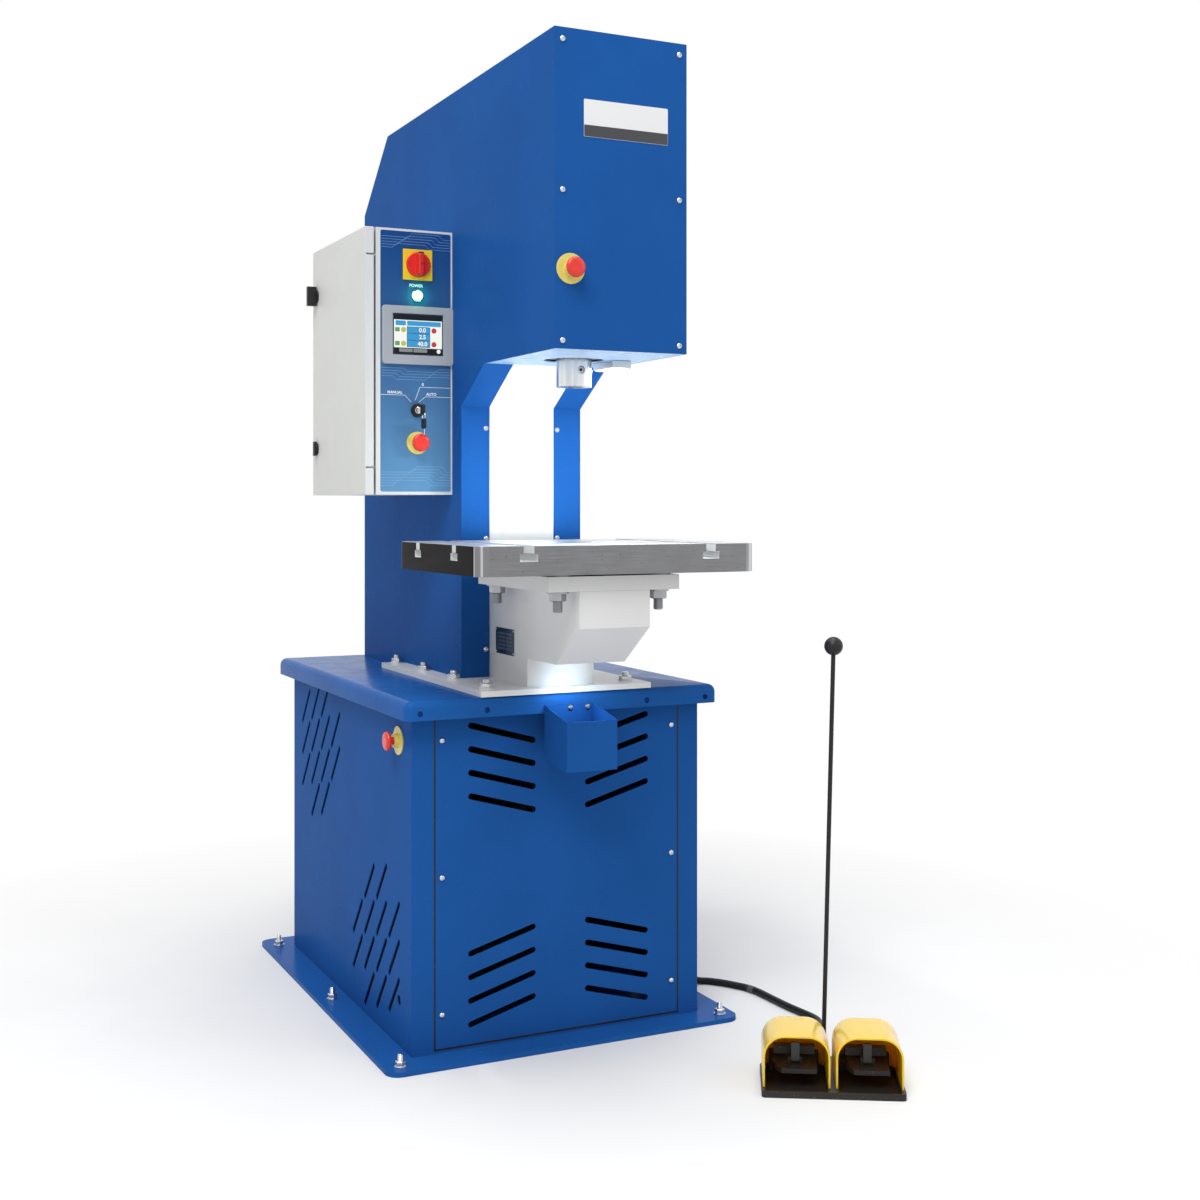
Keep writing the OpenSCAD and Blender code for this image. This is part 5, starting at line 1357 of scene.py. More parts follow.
@dataclass
class Fasteners:
    """Screws, bolts, nuts and studs, modelled once and copied to where the solids hold them.

    Radii and heights of the models are in millimetres.
    """

    press: Press
    screw_r: float = 6.0
    socket_r: float = 2.5
    screw_rise: float = 3.5 * MM
    least_bolt: float = 20 * MM
    washer_edge: float = 0.3
    hexagon_ease: float = 0.35 * MM
    hexagon_angle: float = 20.0
    thread_angle: float = 25.0
    thread_tip: float = 0.8
    thread_clear: float = 1.0
    flange: BoltSize = BoltSize(15.2, 3.0, 24.0, 8.0, 2.0)
    flange_end: float = 8.0
    level: BoltSize = BoltSize(13.2, 2.5, 19.2, 6.0, 1.75)
    level_nut_top: float = 12.1
    stud: BoltSize = BoltSize(22.0, 4.0, 30.0, 10.0, 2.5)
    stud_nut_top: float = 20.0
    stud_thread: float = 18.0
    stud_sunk: float = 2.0
    least_stud: float = 10 * MM

    def screw(self) -> Piece:
        """A domed screw with a socket, its head on the plane z = 0.

        Returns:
            The model at the origin.
        """
        r, socket = self.screw_r, self.socket_r
        profile = [
            (r, 0), (r, 0.4), (0.93 * r, 1.6), (0.72 * r, 2.7), (0.45 * r, 3.2),
            (socket, 3.3), (socket, 0.9),
        ]
        return Bench.turned("screw_model", ORIGIN, UP, profile, 24)

    def hexagon(self, name: str, flats: float, low: float, high: float) -> Piece:
        """A hexagon with its corners turned off at the top.

        Args:
            name: Name of the piece.
            flats: Width across the flats.
            low: Height of its foot.
            high: Height of its top.

        Returns:
            The model on the Z axis.
        """
        corner = flats / 2 / math.cos(math.pi / 6)
        chamfer = 0.054 * flats
        profile = [(corner, low), (corner, high - chamfer), (0.47 * flats, high)]
        body = Bench.turned(name, ORIGIN, UP, profile, 6, 0)
        Bench.ease(body, self.hexagon_ease, 2, self.hexagon_angle)
        return body

    def thread(self, name: str, radius: float, low: float, high: float, pitch: float) -> Piece:
        """A threaded end with a chamfered tip.

        Args:
            name: Name of the piece.
            radius: Outer radius.
            low: Height of its foot.
            high: Height of its tip.
            pitch: Distance between the thread's crests.

        Returns:
            The model on the Z axis.
        """
        root = 0.9 * radius
        profile = [(0.93 * radius, low)]
        height = low
        while height + pitch < high - self.thread_clear:
            crest = [(radius, height + 0.35 * pitch), (radius, height + 0.6 * pitch)]
            profile += [*crest, (root, height + pitch)]
            height += pitch
        profile += [(root, high - self.thread_tip), (0.72 * radius, high)]
        return Bench.turned(name, ORIGIN, UP, profile, 24, self.thread_angle)

    def washer(self, name: str, radius: float, low: float, high: float) -> Piece:
        """A plain washer.

        Args:
            name: Name of the piece.
            radius: Outer radius.
            low: Height of its foot.
            high: Height of its top.

        Returns:
            The model on the Z axis.
        """
        edge = self.washer_edge
        inner = radius - edge
        profile = [(inner, low), (radius, low + edge), (radius, high - edge), (inner, high)]
        return Bench.turned(name, ORIGIN, UP, profile, 40)

    def bolt(self, name: str, size: BoltSize, top: float, thread: tuple[float, float]) -> Piece:
        """A washer, a hexagon on it and a threaded end, on the plane z = 0.

        Args:
            name: First word of the pieces' names.
            size: Its sizes.
            top: Height of the hexagon's top.
            thread: Heights of the thread's foot and tip.

        Returns:
            The model on the Z axis.
        """
        parts = [
            self.washer(f"{name}_washer", size.washer_r, 0, size.washer_t),
            self.hexagon(f"{name}_hexagon", size.flats, size.washer_t, top),
            self.thread(f"{name}_thread", size.thread_r, *thread, size.pitch),
        ]
        return Bench.join(f"{name}_model", parts)

    @staticmethod
    def spots(boxes: Sequence[Box], height: float) -> list[Matrix]:
        """Places on the axes of upright solids, at one height."""
        return [Matrix.Translation(((a.x + b.x) / 2, (a.y + b.y) / 2, height)) for a, b in boxes]

    def screws(self, boxes: Sequence[Box]) -> Piece:
        """Puts a screw where each cover screw sits, its head to the side that its shank leaves.

        Args:
            boxes: Boxes of the solids that they stand for.

        Returns:
            The screws.
        """
        middle = centre_of("base_cabinet").y
        places = []
        for low, high in boxes:
            centre = (low + high) / 2
            back = centre.y > middle
            head = high.y - self.screw_rise if back else low.y + self.screw_rise
            turn = Matrix.Rotation(math.radians(-90 if back else 90), 4, "X")
            places.append(Matrix.Translation((centre.x, head, centre.z)) @ turn)
        return Bench.copies("cover_screw_set", self.screw(), places)

    def flange_bolts(self, boxes: Sequence[Box]) -> Piece:
        """Bolts of the foot flange.

        Args:
            boxes: Boxes of the solids that they stand for.

        Returns:
            The bolts.
        """
        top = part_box("foot_flange")[1].z
        end = (boxes[0][1].z - top) / MM
        head = end - self.flange_end
        model = self.bolt("flange_bolt", self.flange, head, (head, end))
        return Bench.copies("flange_bolt_set", model, self.spots(boxes, top))

    def frame_fasteners(self) -> None:
        """Cover screws and flange bolts, which are one node."""
        screws, bolts = [], []
        for low, high in self.press.islands("frame_fasteners"):
            kind = screws if high.x - low.x < self.least_bolt else bolts
            kind.append((low, high))
        piece = Bench.join("frame_fastener_set", [self.screws(screws), self.flange_bolts(bolts)])
        self.press.adopt(piece, Slot.ZINC, ZINC, ["frame_fasteners"])

    def levelling_bolts(self) -> None:
        """Studs of the base plate, each with a washer and a nut."""
        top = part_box("base_plate")[1].z
        studs = [box for box in self.press.islands("levelling_bolts") if box[0].z < top / 2]
        reach = (-top / MM, (studs[0][1].z - top) / MM)
        model = self.bolt("level", self.level, self.level_nut_top, reach)
        piece = Bench.copies("levelling_bolt_set", model, self.spots(studs, top))
        self.press.adopt(piece, Slot.ZINC, ZINC, ["levelling_bolts"])

    def table_studs(self) -> None:
        """Clamp studs below the bed flange, with washer and nut, their threads hanging down."""
        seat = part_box("bed_flange")[0].z
        studs = [box for box in self.press.islands("table_studs") if box[1].z > seat + self.least_stud]
        reach = (self.stud_thread, (seat - studs[0][0].z) / MM)
        length = (studs[0][1].z - seat) / MM
        nut = self.bolt("stud", self.stud, self.stud_nut_top, reach)
        shank = self.washer("stud_shank", self.stud.thread_r, -length, self.stud_sunk)
        flip = Matrix.Rotation(math.pi, 4, "X")
        places = [spot @ flip for spot in self.spots(studs, seat)]
        piece = Bench.copies("table_stud_set", Bench.join("stud_model", [nut, shank]), places)
        self.press.adopt(piece, Slot.ZINC, STUD, ["table_studs"])

    def build(self) -> None:
        """Makes all the fasteners."""
        self.frame_fasteners()
        self.levelling_bolts()
        self.table_studs()


@dataclass
class Plates:
    """Blank label on the head and blank rating plate on the bed."""

    press: Press
    label_low: tuple[float, float] = (-0.083, 1.853)
    label_high: tuple[float, float] = (0.102, 1.926)
    band_top: float = 1.876
    band_inset: float = 0.5 * MM
    band_half: float = 0.2 * MM
    band_corner: float = 1.6 * MM
    band_ease: float = 0.08 * MM
    rating_low: tuple[float, float] = (-0.390, 0.811)
    rating_high: tuple[float, float] = (-0.287, 0.868)
    rating_margin: float = 8 * MM
    rating_split: tuple[float, float] = (44 * MM, 50 * MM)
    rating_rows: int = 5
    row_start: float = 0.2
    row_share: float = 0.6
    row_proud: float = 0.15 * MM
    row_sunk: float = 0.1 * MM
    row_ease: float = 0.05 * MM
    rivet_inset: float = 4 * MM
    thickness: float = 0.8 * MM
    corner: float = 2.0 * MM
    ease: float = 0.2 * MM

    def label(self) -> None:
        """White plate on the head's front, with a dark lower band."""
        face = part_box("head_front_cover")[0].y
        (left, foot), (right, head) = self.label_low, self.label_high
        front = face - self.thickness
        plate = Bench.slab("head_label", (left, front, foot), (right, face, head), self.ease, self.corner)
        self.press.adopt(plate, Slot.WHITE, BLANK)
        inset = self.band_inset
        band = Bench.block(
            "head_label_band",
            (left + inset, front - self.band_half, foot + inset),
            (right - inset, front + self.band_half, self.band_top),
        )
        middle, upright = (foot + self.band_top) / 2, runs_along("y")
        Bench.round_edges(band, lambda mid, run: upright(mid, run) and mid.z < middle, self.band_corner)
        Bench.ease(band, self.band_ease)
        self.press.adopt(band, Slot.BLACK, BAND)

    def rating(self) -> None:
        """Dark plate on the bed's left face, with blank fields and a rivet in each corner."""
        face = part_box("bed_nose")[0].x
        (fore, foot), (back, head) = self.rating_low, self.rating_high
        front = face - self.thickness
        plate = Bench.slab(
            "rating_plate", (front, fore, foot), (face, back, head), self.ease, self.corner, "x"
        )
        self.press.adopt(plate, Slot.BLACK, PLATE)
        margin, (first_end, second_start) = self.rating_margin, self.rating_split
        columns = ((fore + margin, fore + first_end), (fore + second_start, back - margin))
        pitch = (head - foot - 2 * margin) / self.rating_rows
        rows = []
        for k in range(self.rating_rows):
            z = foot + margin + (k + self.row_start) * pitch
            for a, b in columns:
                low = (front - self.row_proud, a, z)
                high = (front + self.row_sunk, b, z + self.row_share * pitch)
                rows.append(Bench.block(f"rating_field_{k}", low, high))
        fields = Bench.join("rating_fields", rows)
        Bench.ease(fields, self.row_ease)
        self.press.adopt(fields, Slot.BLACK, FIELD)
        profile = [(2, -0.2), (2, 0.3), (1.5, 0.9), (0.6, 1.2)]
        rivet = Bench.turned("rivet_model", ORIGIN, LEFT, profile, 20)
        inset = self.rivet_inset
        places = [
            Matrix.Translation((front, y, z))
            for y in (fore + inset, back - inset)
            for z in (foot + inset, head - inset)
        ]
        self.press.adopt(Bench.copies("rating_rivets", rivet, places), Slot.ZINC, ZINC)

    def build(self) -> None:
        """Makes both plates."""
        self.label()
        self.rating()


@dataclass
class EmergencyStops:
    """Mushroom caps of the four emergency stops, with their radii in millimetres."""

    press: Press
    caps: dict[str, Triple] = field(
        default_factory=lambda: {
            "head_estop_cap": FORE,
            "panel_estop_cap": FORE,
            "left_estop_cap": LEFT,
            "right_estop_cap": RIGHT,
        }
    )
    stem: float = 8.0
    brim: float = 20.0
    sides: int = 64
    smooth_deg: float = 50.0

    def build(self) -> None:
        """Makes each cap, with a dished face."""
        stem, r = self.stem, self.brim
        for node, axis in self.caps.items():
            low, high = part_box(node)
            out = Vector(axis)
            length = abs((high - low).dot(out))
            foot = (low + high) / 2 - out * length / 2
            top = length / MM
            profile = [
                (stem, 0), (stem, 12.2), (0.80 * r, 12.6), (0.90 * r, 13.4), (0.985 * r, 15.5), (r, 17.5),
                (0.985 * r, 19.6), (0.93 * r, 21.6), (0.82 * r, 23.2), (0.66 * r, top),
                (0.4 * r, top - 0.25), (0.05 * r, top - 0.4),
            ]
            cap = Bench.turned(f"{node}_turned", foot, axis, profile, self.sides, self.smooth_deg)
            self.press.adopt(cap, Slot.RED, RED, [node], self.press.bodies[node])


@dataclass
class ControlPanel:
    """Front of the control cabinet: foil, operator screen, main switch, lamp and key switch.

    The foil's corners are in millimetres from those of the panel.
    """

    press: Press
    door_gap: float = 5 * MM
    foil_t: float = 0.3 * MM
    foil_low: Triple = (10, 0, 7)
    foil_high: Triple = (-4, 0.1, -5)
    foil_corner: float = 4 * MM
    foil_ease: float = 0.1 * MM
    line_pitch: float = 6 * MM
    line_width: float = 0.5 * MM
    line_height: float = 0.06 * MM
    print_ease: float = 0.04 * MM
    leader_half: tuple[float, float] = (0.1 * MM, 0.45 * MM)
    bezel_corner: float = 7 * MM
    bezel_ease: float = 0.8 * MM
    field_corner: float = 1.5 * MM
    widest_round: float = 100 * MM
    digits: tuple[str, ...] = ("40.0", "2.5", "0.0")
    rows_with_buttons: tuple[int, ...] = (0, 2)
    button_r: float = 5.8
    halo: Light = Light("power_halo", (0.02, 0.02), 0.025, (0.08, 1.0, 0.35))

    def __post_init__(self) -> None:
        """Finds the panel's front."""
        self.low, self.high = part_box("cabinet_box")
        self.mid_x = centre_of("main_switch_plate").x
        self.face = self.low.y
        self.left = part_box("cabinet_door")[1].x + self.door_gap
        self.right = self.high.x

    def on_face(self, node: str) -> Vector:
        """Where the axis of a node meets the panel's face.

        Args:
            node: Node of a fitting.

        Returns:
            The point.
        """
        at = centre_of(node)
        at.y = self.face
        return at

    def foil(self) -> None:
        """Printed foil between the cabinet's folded edges."""
        low = Vector((self.left, self.face - self.foil_t, self.low.z)) + mm(*self.foil_low)
        high = Vector((self.right, self.face, self.high.z)) + mm(*self.foil_high)
        sheet = Bench.slab("panel_foil", low, high, self.foil_ease, self.foil_corner)
        self.press.adopt(sheet, Slot.GREY_PLASTIC, PanelFoil("panel_foil_print", low.z, high.z))

    def lines(self) -> None:
        """Fine stepped lines across the foil, in three bands."""
        front = self.face - self.foil_t
        left, right = self.left + 12 * MM, self.right - 6 * MM
        bands = [
            (self.high.z - 42 * MM, 5, 9 * MM),
            (self.low.z + 262 * MM, 4, -7 * MM),
            (self.low.z + 20 * MM, 6, 12 * MM),
        ]
        traces = []
        for base, count, rise in bands:
            slant = abs(rise)
            for k in range(count):
                z = base + self.line_pitch * k
                bend = left + (26 + 9 * k) * MM
                back = right - (58 - 8 * k) * MM
                up, down = (bend, z), (back + slant, z)
                steps = [(left, z), up, (bend + slant, z + rise), (back, z + rise), down, (right, z)]
                points = [Vector((x, front, height)) for x, height in steps]
                name = f"panel_line_{len(traces)}"
                traces.append(Bench.trace(name, points, self.line_width, self.line_height))
        self.press.adopt(Bench.join("panel_lines", traces), Slot.GREY_PLASTIC, LINE)

    def words(self) -> None:
        """Generic words beside the lamp and the key switch, with a leader line to each key position."""
        front = self.face - self.foil_t - 0.05 * MM
        lamp = Vector((self.mid_x, front, centre_of("power_lamp").z))
        key = Vector((self.mid_x, front, centre_of("key_switch_body").z))
        words = [
            ("word_power", "POWER", 9, lamp + mm(-3, 0, 22)),
            ("word_manual", "MANUAL", 8.5, key + mm(-52, 0, 39)),
            ("word_zero", "0", 8.5, key + mm(13, 0, 58)),
            ("word_auto", "AUTO", 8.5, key + mm(33, 0, 36.5)),
        ]
        prints = [Bench.lettering(name, text, size * MM, at) for name, text, size, at in words]
        left = (self.left - self.mid_x) / MM + 11
        right = (self.right - self.mid_x) / MM - 5
        leaders = [
            [(left, 33.5), (-29, 33.5), (-14, 18.5)],
            [(-5, 22.5), (6, 52), (right, 52)],
            [(3, 18), (19, 31), (right, 31)],
        ]
        for k, corners in enumerate(leaders):
            points = [key + mm(aside, 0, rise) for aside, rise in corners]
            prints.append(self.leader(f"key_leader_{k}", points))
        for piece in prints:
            self.press.adopt(piece, Slot.GREY_PLASTIC, PRINT)

    def leader(self, name: str, points: Sequence[Vector]) -> Piece:
        """Printed line of two straight runs.

        Args:
            name: Name of the piece.
            points: Both ends and the corner.

        Returns:
            The line.
        """
        runs = []
        for k, (a, b) in enumerate(zip(points, points[1:])):
            run = b - a
            half = Vector((run.length / 2, *self.leader_half))
            bar = Bench.block(f"{name}_{k}", -half, half)
            turn = Matrix.Rotation(math.atan2(-run.z, run.x), 4, "Y")
            bar.data.transform(Matrix.Translation((a + b) / 2) @ turn)
            runs.append(bar)
        line = Bench.join(name, runs)
        Bench.ease(line, self.print_ease)
        return line

    def bezel(self) -> None:
        """Frame of the operator panel, with round corners and a blank pressed pill below the screen."""
        frame = self.press.copy_of("hmi_panel")
        low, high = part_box("hmi_panel")
        middle = (low + high) / 2
        reach = (high - low) / 2 - mm(1, 1, 1)
        upright = runs_along("y")

        def at_corner(mid: Vector, run: Vector) -> bool:
            """Whether an edge is one of the frame's four outer corners."""
            away = mid - middle
            return upright(mid, run) and abs(away.x) > reach.x and abs(away.z) > reach.z

        Bench.round_edges(frame, at_corner, self.bezel_corner, 5)
        Bench.ease(frame, self.bezel_ease)
        self.press.adopt(frame, Slot.GREY_PLASTIC, GREY_PLASTIC, ["hmi_panel"])
        half = mm(18, 0.3, 4.5)
        spot = Vector((middle.x, low.y, low.z)) + mm(0, 0, 10)
        pill = Bench.slab("screen_pill", spot - half, spot + half, 0.25 * MM, 4.2 * MM, segments=5)
        self.press.adopt(pill, Slot.GREY_PLASTIC, GREY_PLASTIC)

    def screen(self) -> None:
        """Lit screen of the operator panel, with plain fields, buttons and numbers."""
        centre = centre_of("hmi_panel")
        centre.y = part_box("hmi_panel")[0].y + 1.8 * MM
        rim = Bench.slab("screen_rim", centre - mm(58.8, 0, 43.8), centre + mm(58.8, 0.6, 47.8), 0.1 * MM)
        self.press.adopt(rim, Slot.GREY_PLASTIC, RIM)
        origin = centre - mm(56, 0, 41)
        fields = [
            ("page", (0, 0, 112, 86), 0.1, SCREEN),
            ("header", (0, 74.5, 112, 11.5), 0.2, SCREEN_DARK),
            ("footer", (0, 0, 112, 13), 0.2, SCREEN_DARK),
            ("mode", (3.5, 62, 24, 10.5), 0.2, SCREEN_BLUE),
            ("title", (30.4, 62, 79, 10.5), 0.2, SCREEN_BLUE),
            ("tab_0", (12, 3.5, 31, 8), 0.3, SCREEN_GREY),
            ("tab_1", (45, 3.5, 32, 8), 0.3, SCREEN_GREY),
        ]
        for name, cut, lift, spec in fields:
            self.field(name, origin, cut, lift, spec)
        self.button("knob", origin + mm(104, 0, 7), 4.6, SCREEN)
        for k, digits in enumerate(self.digits):
            base = 15.6 + 15.2 * k
            middle = base + 6.7
            self.field(f"edge_{k}", origin, (29.6, base - 0.8, 54.6, 15), 0.2, SCREEN_DARK)
            self.field(f"value_{k}", origin, (30.4, base, 53, 13.4), 0.3, SCREEN_BLUE)
            spot = origin + mm(66, -0.35, middle)
            number = Bench.lettering(f"screen_digits_{k}", digits, 13 * MM, spot)
            self.press.adopt(number, Slot.GREY_PLASTIC, SCREEN)
            if k in self.rows_with_buttons:
                self.field(f"key_{k}", origin, (2.4, base + 2, 10.8, 9.4), 0.2, SCREEN_GREEN)
                self.button(f"start_{k}", origin + mm(22, 0, middle), self.button_r, SCREEN_LIME)
                self.button(f"stop_{k}", origin + mm(93, 0, middle), self.button_r, SCREEN_RED)

    def button(self, name: str, at: Vector, r: float, spec: Glow) -> None:
        """One lit round button of the screen.

        Args:
            name: Name of the button.
            at: Middle of its foot.
            r: Radius in millimetres.
            spec: Finish that it wears.
        """
        profile = [(r, 0), (r, 0.35), (0.8 * r, 0.5)]
        disc = Bench.turned(f"screen_{name}", at, FORE, profile, 28, 0)
        self.press.adopt(disc, Slot.GREY_PLASTIC, spec)

    def field(
        self, name: str, origin: Vector, cut: tuple[float, float, float, float], lift: float, spec: Glow
    ) -> None:
        """One lit field of the screen.

        Args:
            name: Name of the field.
            origin: Lower left corner of the screen.
            cut: Left, bottom, width and height in millimetres.
            lift: Height above the screen in millimetres.
            spec: Finish that it wears.
        """
        left, bottom, width, height = cut
        low = origin + mm(left, -lift, bottom)
        high = origin + mm(left + width, 0.05, bottom + height)
        piece = Bench.block(f"screen_{name}", low, high)
        if width * MM < self.widest_round:
            Bench.round_edges(piece, runs_along("y"), min(self.field_corner, height * MM / 4), 3)
        else:
            Bench.ease(piece, self.print_ease)
        self.press.adopt(piece, Slot.GREY_PLASTIC, spec)

    def main_switch(self) -> None:
        """Red rotary handle of the main switch: a disc with a tapered upright grip."""
        knob = "main_switch_knob"
        seat, crown = centre_of(knob), centre_of(knob)
        seat.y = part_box("main_switch_plate")[0].y
        crown.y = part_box(knob)[0].y
        profile = [(6, -10), (6, 0.4), (27, 0.4), (28, 1.5), (27.5, 6.5), (26, 8.4), (10, 8.6)]
        disc = Bench.turned("main_switch_disc", seat, FORE, profile, 72)
        grip = Bench.block("main_switch_grip", crown - mm(7.5, 0, 26), seat + mm(7.5, -7, 26))
        Bench.pick_faces(grip, lambda mid, normal: normal.y < -PARALLEL)
        bpy.ops.transform.resize(value=(0.72, 1.0, 0.84), center_override=crown)
        bpy.ops.object.mode_set(mode="OBJECT")
        Bench.ease(grip, 2.2 * MM, 4)
        handle = Bench.join("main_switch_handle", [disc, grip])
        self.press.adopt(handle, Slot.RED, RED, [knob], knob)
        notch = Bench.slab(
            "main_switch_notch", crown + mm(-5.4, 1.5, 20.5), seat + mm(5.4, -8, 26), 0.6 * MM
        )
        self.press.adopt(notch, Slot.RED, BAND, body=knob)
        profile = [(2.4, -1), (2.4, 0.15), (1.2, 0.3)]
        screw = Bench.turned("main_switch_screw", crown, FORE, profile, 20)
        self.press.adopt(screw, Slot.RED, BAND, body=knob)

    def power_lamp(self) -> None:
        """Bright ring and domed green lens of the power lamp."""
        at = self.on_face("power_lamp")
        profile = [(11, -28), (11, 0), (14, 0.1), (14, 3.2), (12.6, 5), (11, 5)]
        ring = Bench.turned("power_lamp_ring", at, FORE, profile)
        self.press.adopt(ring, Slot.GREEN, CHROME)
        profile = [(11.2, 4), (11.2, 6.4), (10.4, 8.6), (8.2, 10.2), (4.6, 10.9), (0.8, 11)]
        lens = Bench.turned("power_lamp_lens", at, FORE, profile, smooth_deg=50)
        self.press.adopt(lens, Slot.GREEN, GREEN, ["power_lamp"])
        self.halo.hang(at - mm(0, 16, 0), -Vector(FORE))

    def key_switch(self) -> None:
        """Key switch with its key, and a spare key that hangs from it."""
        at = self.on_face("key_switch_body")
        profile = [(11, -38), (11, 0), (15, 0.1), (15, 6), (13.8, 9.4), (8.4, 10), (8.3, 4)]
        body = Bench.turned("key_switch_bezel", at, FORE, profile)
        self.press.adopt(body, Slot.BLACK, BLACK, ["key_switch_body"])
        key = "switch_key"
        tip = Vector((at.x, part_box(key)[0].y, at.z))
        ease = 0.4 * MM
        profile = [(8, -8), (8, 10.8), (7, 11.8), (1, 12)]
        pieces = [
            (Bench.turned("key_barrel", at, FORE, profile), CHROME, []),
            (Bench.slab("key_blade", tip + mm(-1.1, 20, -3.6), at + mm(1.1, -11, 3.6), ease), CHROME, []),
            (self.key_bow("key_bow", tip + mm(0, 12, 0)), BLACK, [key]),
            (self.ring("key_link", tip + mm(0, 5, -15), 8 * MM), CHROME, []),
            (self.key_bow("spare_key_bow", tip + mm(0, 5, -31)), BLACK, []),
            (Bench.slab("spare_key_blade", tip + mm(-1, 2, -56), tip + mm(1, 8, -41), ease), CHROME, []),
        ]
        for piece, spec, nodes in pieces:
            self.press.adopt(piece, Slot.BLACK, spec, nodes, key)

    @staticmethod
    def key_bow(name: str, centre: Vector) -> Piece:
        """Rounded plastic bow of a key, standing upright across the front.

        Args:
            name: Name of the piece.
            centre: Middle of the bow.

        Returns:
            The bow.
        """
        half = mm(2.2, 11.5, 11.5)
        bow = Bench.block(name, centre - half, centre + half)
        Bench.round_edges(bow, runs_along("x"), 6 * MM, 6)
        Bench.ease(bow, 1.0 * MM, 3)
        return bow

    @staticmethod
    def ring(name: str, centre: Vector, radius: float) -> Piece:
        """Wire ring in the plane across the front.

        Args:
            name: Name of the piece.
            centre: Middle of the ring.
            radius: Radius of the wire's middle.

        Returns:
            The ring.
        """
        Bench.clear()
        bpy.ops.mesh.primitive_torus_add(
            location=centre, rotation=(0, math.pi / 2, 0), major_radius=radius, minor_radius=0.9 * MM,
            major_segments=32, minor_segments=10,
        )
        piece = Bench.named(name)
        Bench.smooth(piece)
        return piece

    def build(self) -> None:
        """Makes everything on the panel."""
        self.foil()
        self.lines()
        self.words()
        self.bezel()
        self.screen()
        self.main_switch()
        self.power_lamp()
        self.key_switch()


@dataclass
class RamNose:
    """Set screw in the ram's nose, the lit lens of the work lamp beside it, and the light below."""

    press: Press
    set_screw_rise: float = 34.0 * MM
    lens_ease: float = 0.4 * MM
    work_watts: float = 1.8
    tint: Triple = (0.86, 0.94, 1.0)
    drop: Light = Light("drop_light", (0.09, 0.05), 0.06, (0.70, 0.87, 1.0), mirrored=False)
    catch: Light = Light("catch_light", (0.06, 0.04), 0.16, (0.70, 0.87, 1.0), mirrored=False)
    catch_aim: Triple = (0.5, 0.6, -1.0)
    glow: Light = Light("table_glow", (0.34, 0.28), 1.3, (0.86, 0.94, 1.0), mirrored=False)

    def set_screw(self) -> None:
        """Sunk screw in the ram's front, with a dark hexagon socket."""
        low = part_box("ram")[0]
        at = Vector((centre_of("ram").x, low.y, low.z + self.set_screw_rise))
        profile = [(7.6, -16), (7.6, -6), (6.4, -2.4), (3.8, -2.2), (3.8, -3)]
        screw = Bench.turned("ram_set_screw", at, FORE, profile, 32)
        self.press.adopt(screw, Slot.STEEL, ZINC, body="ram")
        profile = [(3.6, -4), (3.6, -2.1), (3.0, -2.3)]
        socket = Bench.turned("ram_screw_socket", at, FORE, profile, 6, 0)
        self.press.adopt(socket, Slot.STEEL, BLACK, body="ram")

    def work_lamp(self) -> None:
        """Lit lens of the work lamp, and the light that it throws."""
        low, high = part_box("work_lamp")
        foot = Vector((high.x, high.y, low.z))
        lens = Bench.slab("work_lamp_lens", low + mm(4, 5, -0.8), foot + mm(-4, -5, 0.5), self.lens_ease)
        self.press.adopt(lens, Slot.LAMP, LENS)
        size = (high.x - low.x - 10 * MM, high.y - low.y - 12 * MM)
        under = (low + foot) / 2 - mm(0, 0, 2)
        Light("work_light", size, self.work_watts, self.tint).hang(under, -Vector(UP))

    def lights(self) -> None:
        """Light that falls into the drop way and the catch box, and that the table throws back."""
        axis = centre_of("ram")
        bed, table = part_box("bed_nose")[0].z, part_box("table")[1].z
        self.drop.hang(Vector((axis.x, axis.y, bed)) + mm(0, -6, 20), -Vector(UP))
        low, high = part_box("catch_box")
        self.catch.hang(Vector((axis.x, low.y, high.z)) + mm(-20, 40, 45), Vector(self.catch_aim))
        self.glow.hang(Vector((axis.x, axis.y, table)) + mm(0, 60, 6), Vector(UP))

    def build(self) -> None:
        """Makes the set screw, the lens and the light that falls into the throat and the drop way."""
        self.set_screw()
        self.work_lamp()
        self.lights()


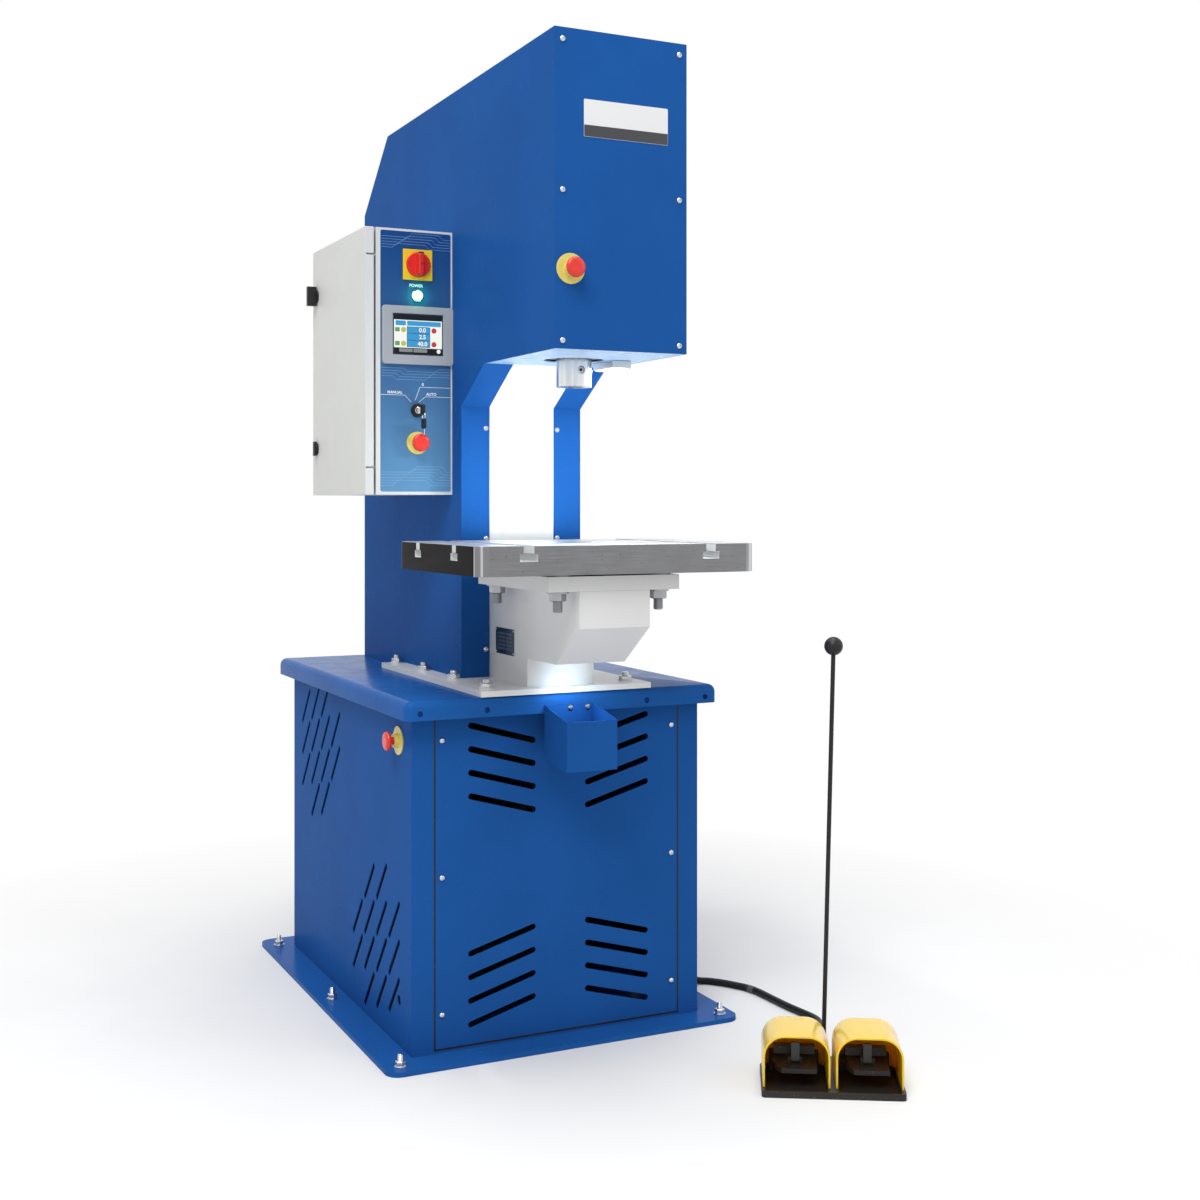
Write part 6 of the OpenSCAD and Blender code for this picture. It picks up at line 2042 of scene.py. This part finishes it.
@dataclass
class FootSwitch:
    """Yellow hoods of the double foot switch."""

    press: Press
    centre: tuple[float, float] = (0.3271, -1.001)
    turn_deg: float = -30.3
    hood_x: float = 70.125 * MM
    half_width: float = 64.875 * MM
    front: float = 21.0 * MM
    depth: float = 144.0 * MM
    foot: float = 13.0 * MM
    top: float = 112.0 * MM
    wall: float = 4.0 * MM
    shoulder: float = 42.0 * MM
    back_round: float = 30.0 * MM
    rim_ease: float = 0.9 * MM
    rim_angle: float = 50.0

    def place(self) -> Matrix:
        """Where the foot switch's own frame lies."""
        return Matrix.Translation((*self.centre, 0)) @ Matrix.Rotation(math.radians(self.turn_deg), 4, "Z")

    def hood(self) -> Piece:
        """One hood, in the foot switch's own frame with its middle on x = 0.

        Returns:
            The model.
        """
        back, lengthwise = self.front + self.depth, runs_along("y")
        model = Bench.block(
            "hood_model", (-self.half_width, self.front, self.foot), (self.half_width, back, self.top)
        )
        Bench.round_edges(
            model, lambda mid, run: lengthwise(mid, run) and mid.z > self.top - MM, self.shoulder, 8
        )
        Bench.pick_faces(model, lambda mid, normal: min(normal.y, normal.z) < -FACING)
        bpy.ops.mesh.delete(type="FACE")
        bpy.ops.object.mode_set(mode="OBJECT")
        Bench.round_edges(
            model, lambda mid, run: mid.y > back - MM and mid.z > self.foot + MM, self.back_round, 6
        )
        Bench.modify(model, "SOLIDIFY", thickness=self.wall, offset=-1.0, use_even_offset=True)
        Bench.ease(model, self.rim_ease, 3, self.rim_angle)
        return model

    def build(self) -> None:
        """Makes both hoods."""
        places = [self.place() @ Matrix.Translation((side * self.hood_x, 0, 0)) for side in (-1, 1)]
        hoods = Bench.copies("footswitch_hood_pair", self.hood(), places)
        self.press.adopt(hoods, Slot.YELLOW, HOOD, ["footswitch_hoods"])


@dataclass
class Conduit:
    """Ribbed conduit and smooth sleeve that lead to the foot switch."""

    press: Press
    radius: float = 8.0 * MM
    rib_pitch: float = 4.0 * MM
    rib_depth: float = 1.0 * MM
    rib_steps: int = 6
    rib_fullness: float = 0.6
    curve_steps: int = 10
    sleeve_step: float = 4 * MM
    conduit_mm: tuple[Triple, ...] = (
        (364, -250, 38), (381, -250, 38), (405, -252, 31), (428, -256, 17), (450, -262, 9),
        (472, -275, 8), (494, -302, 8), (512, -333, 8), (523.3, -355.6, 8), (528, -374, 8),
    )
    sleeve_mm: tuple[Triple, ...] = (
        (528, -374, 8), (532.5, -397.5, 8), (534.5, -455, 8), (536.5, -508, 8), (541, -555, 8),
        (545, -592, 8), (542.5, -626, 8), (527, -659, 8), (494.7, -714.4, 8), (464.4, -766.2, 8),
        (442.2, -804.2, 8), (434.1, -818, 8),
    )

    def route(self, points: Sequence[Triple]) -> list[Vector]:
        """Smooth curve through a route's points.

        Args:
            points: Points in millimetres.

        Returns:
            Points along the curve in metres.
        """
        knots = [mm(*point) for point in points]
        knots = [2 * knots[0] - knots[1], *knots, 2 * knots[-1] - knots[-2]]
        path = []
        for k in range(1, len(knots) - 2):
            a, b, c, d = knots[k - 1 : k + 3]
            for s in range(self.curve_steps):
                t = s / self.curve_steps
                square = 2 * a - 5 * b + 4 * c - d
                cube = 3 * b - a - 3 * c + d
                path.append(0.5 * (2 * b + (c - a) * t + square * t**2 + cube * t**3))
        path.append(knots[-2])
        return path

    @staticmethod
    def length(path: Sequence[Vector]) -> float:
        """Length of a path."""
        return sum((b - a).length for a, b in zip(path, path[1:]))

    def spaced(self, path: Sequence[Vector], step: float) -> list[Vector]:
        """Points at even steps along a path.

        Args:
            path: Points of the path.
            step: Distance between the new points.

        Returns:
            The new points, with both ends.
        """
        total = self.length(path)
        count = max(2, round(total / step))
        made = [path[0]]
        along = 0.0
        index = 0
        for k in range(1, count):
            target = total * k / count
            while along + (path[index + 1] - path[index]).length < target:
                along += (path[index + 1] - path[index]).length
                index += 1
            run = path[index + 1] - path[index]
            made.append(path[index] + run * ((target - along) / run.length))
        made.append(path[-1])
        return made

    def tube(self, name: str, points: Sequence[Vector], shares: Sequence[float]) -> Piece:
        """Round tube along points, with its own radius at each.

        Args:
            name: Name of the piece.
            points: Points of its middle line.
            shares: Share of the full radius at each point.

        Returns:
            The curve.
        """
        data = bpy.data.curves.new(name, "CURVE")
        data.dimensions = "3D"
        data.bevel_depth = self.radius
        data.bevel_resolution = 5
        data.use_fill_caps = True
        spline = data.splines.new("POLY")
        spline.points.add(len(points) - 1)
        for knot, point, share in zip(spline.points, points, shares):
            knot.co = (*point, 1.0)
            knot.radius = share
        piece = bpy.data.objects.new(name, data)
        bpy.context.scene.collection.objects.link(piece)
        return piece

    def rib(self, step: int) -> float:
        """Share of the full radius at a step along the ribs.

        Args:
            step: Number of the step.

        Returns:
            The share, from the root of a rib to its crest.
        """
        low = 1 - self.rib_depth / self.radius
        wave = 0.5 - 0.5 * math.cos(math.tau * step / self.rib_steps)
        return low + (1 - low) * wave**self.rib_fullness

    def build(self) -> None:
        """Makes the conduit, the band on its joint and the sleeve."""
        path = self.spaced(self.route(self.conduit_mm), self.rib_pitch / self.rib_steps)
        conduit = self.tube("ribbed_conduit", path, [self.rib(k) for k in range(len(path))])
        self.press.adopt(conduit, Slot.HOSE, HOSE, ["foot_conduit"])
        sleeve_path = self.spaced(self.route(self.sleeve_mm), self.sleeve_step)
        sleeve = self.tube("smooth_sleeve", sleeve_path, [1.0] * len(sleeve_path))
        self.press.adopt(sleeve, Slot.HOSE, HOSE, ["foot_cable"])
        run = sleeve_path[1] - sleeve_path[0]
        r = self.radius / MM
        profile = [(r, -9), (r + 0.5, -8.6), (r + 0.5, 8.6), (r, 9)]
        band = Bench.turned("conduit_band", sleeve_path[0], run, profile, 32)
        self.press.adopt(band, Slot.HOSE, TAPE)


def main() -> None:
    """Builds the press in order."""
    logging.basicConfig(level=logging.INFO, format="%(name)s: %(message)s")
    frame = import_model()
    press = Press(frame)
    Studio().build()
    Conduit(press).build()
    for part in (Shell, Fasteners, Plates, EmergencyStops, ControlPanel, RamNose, FootSwitch):
        part(press).build()


if __name__ == "__main__":
    main()
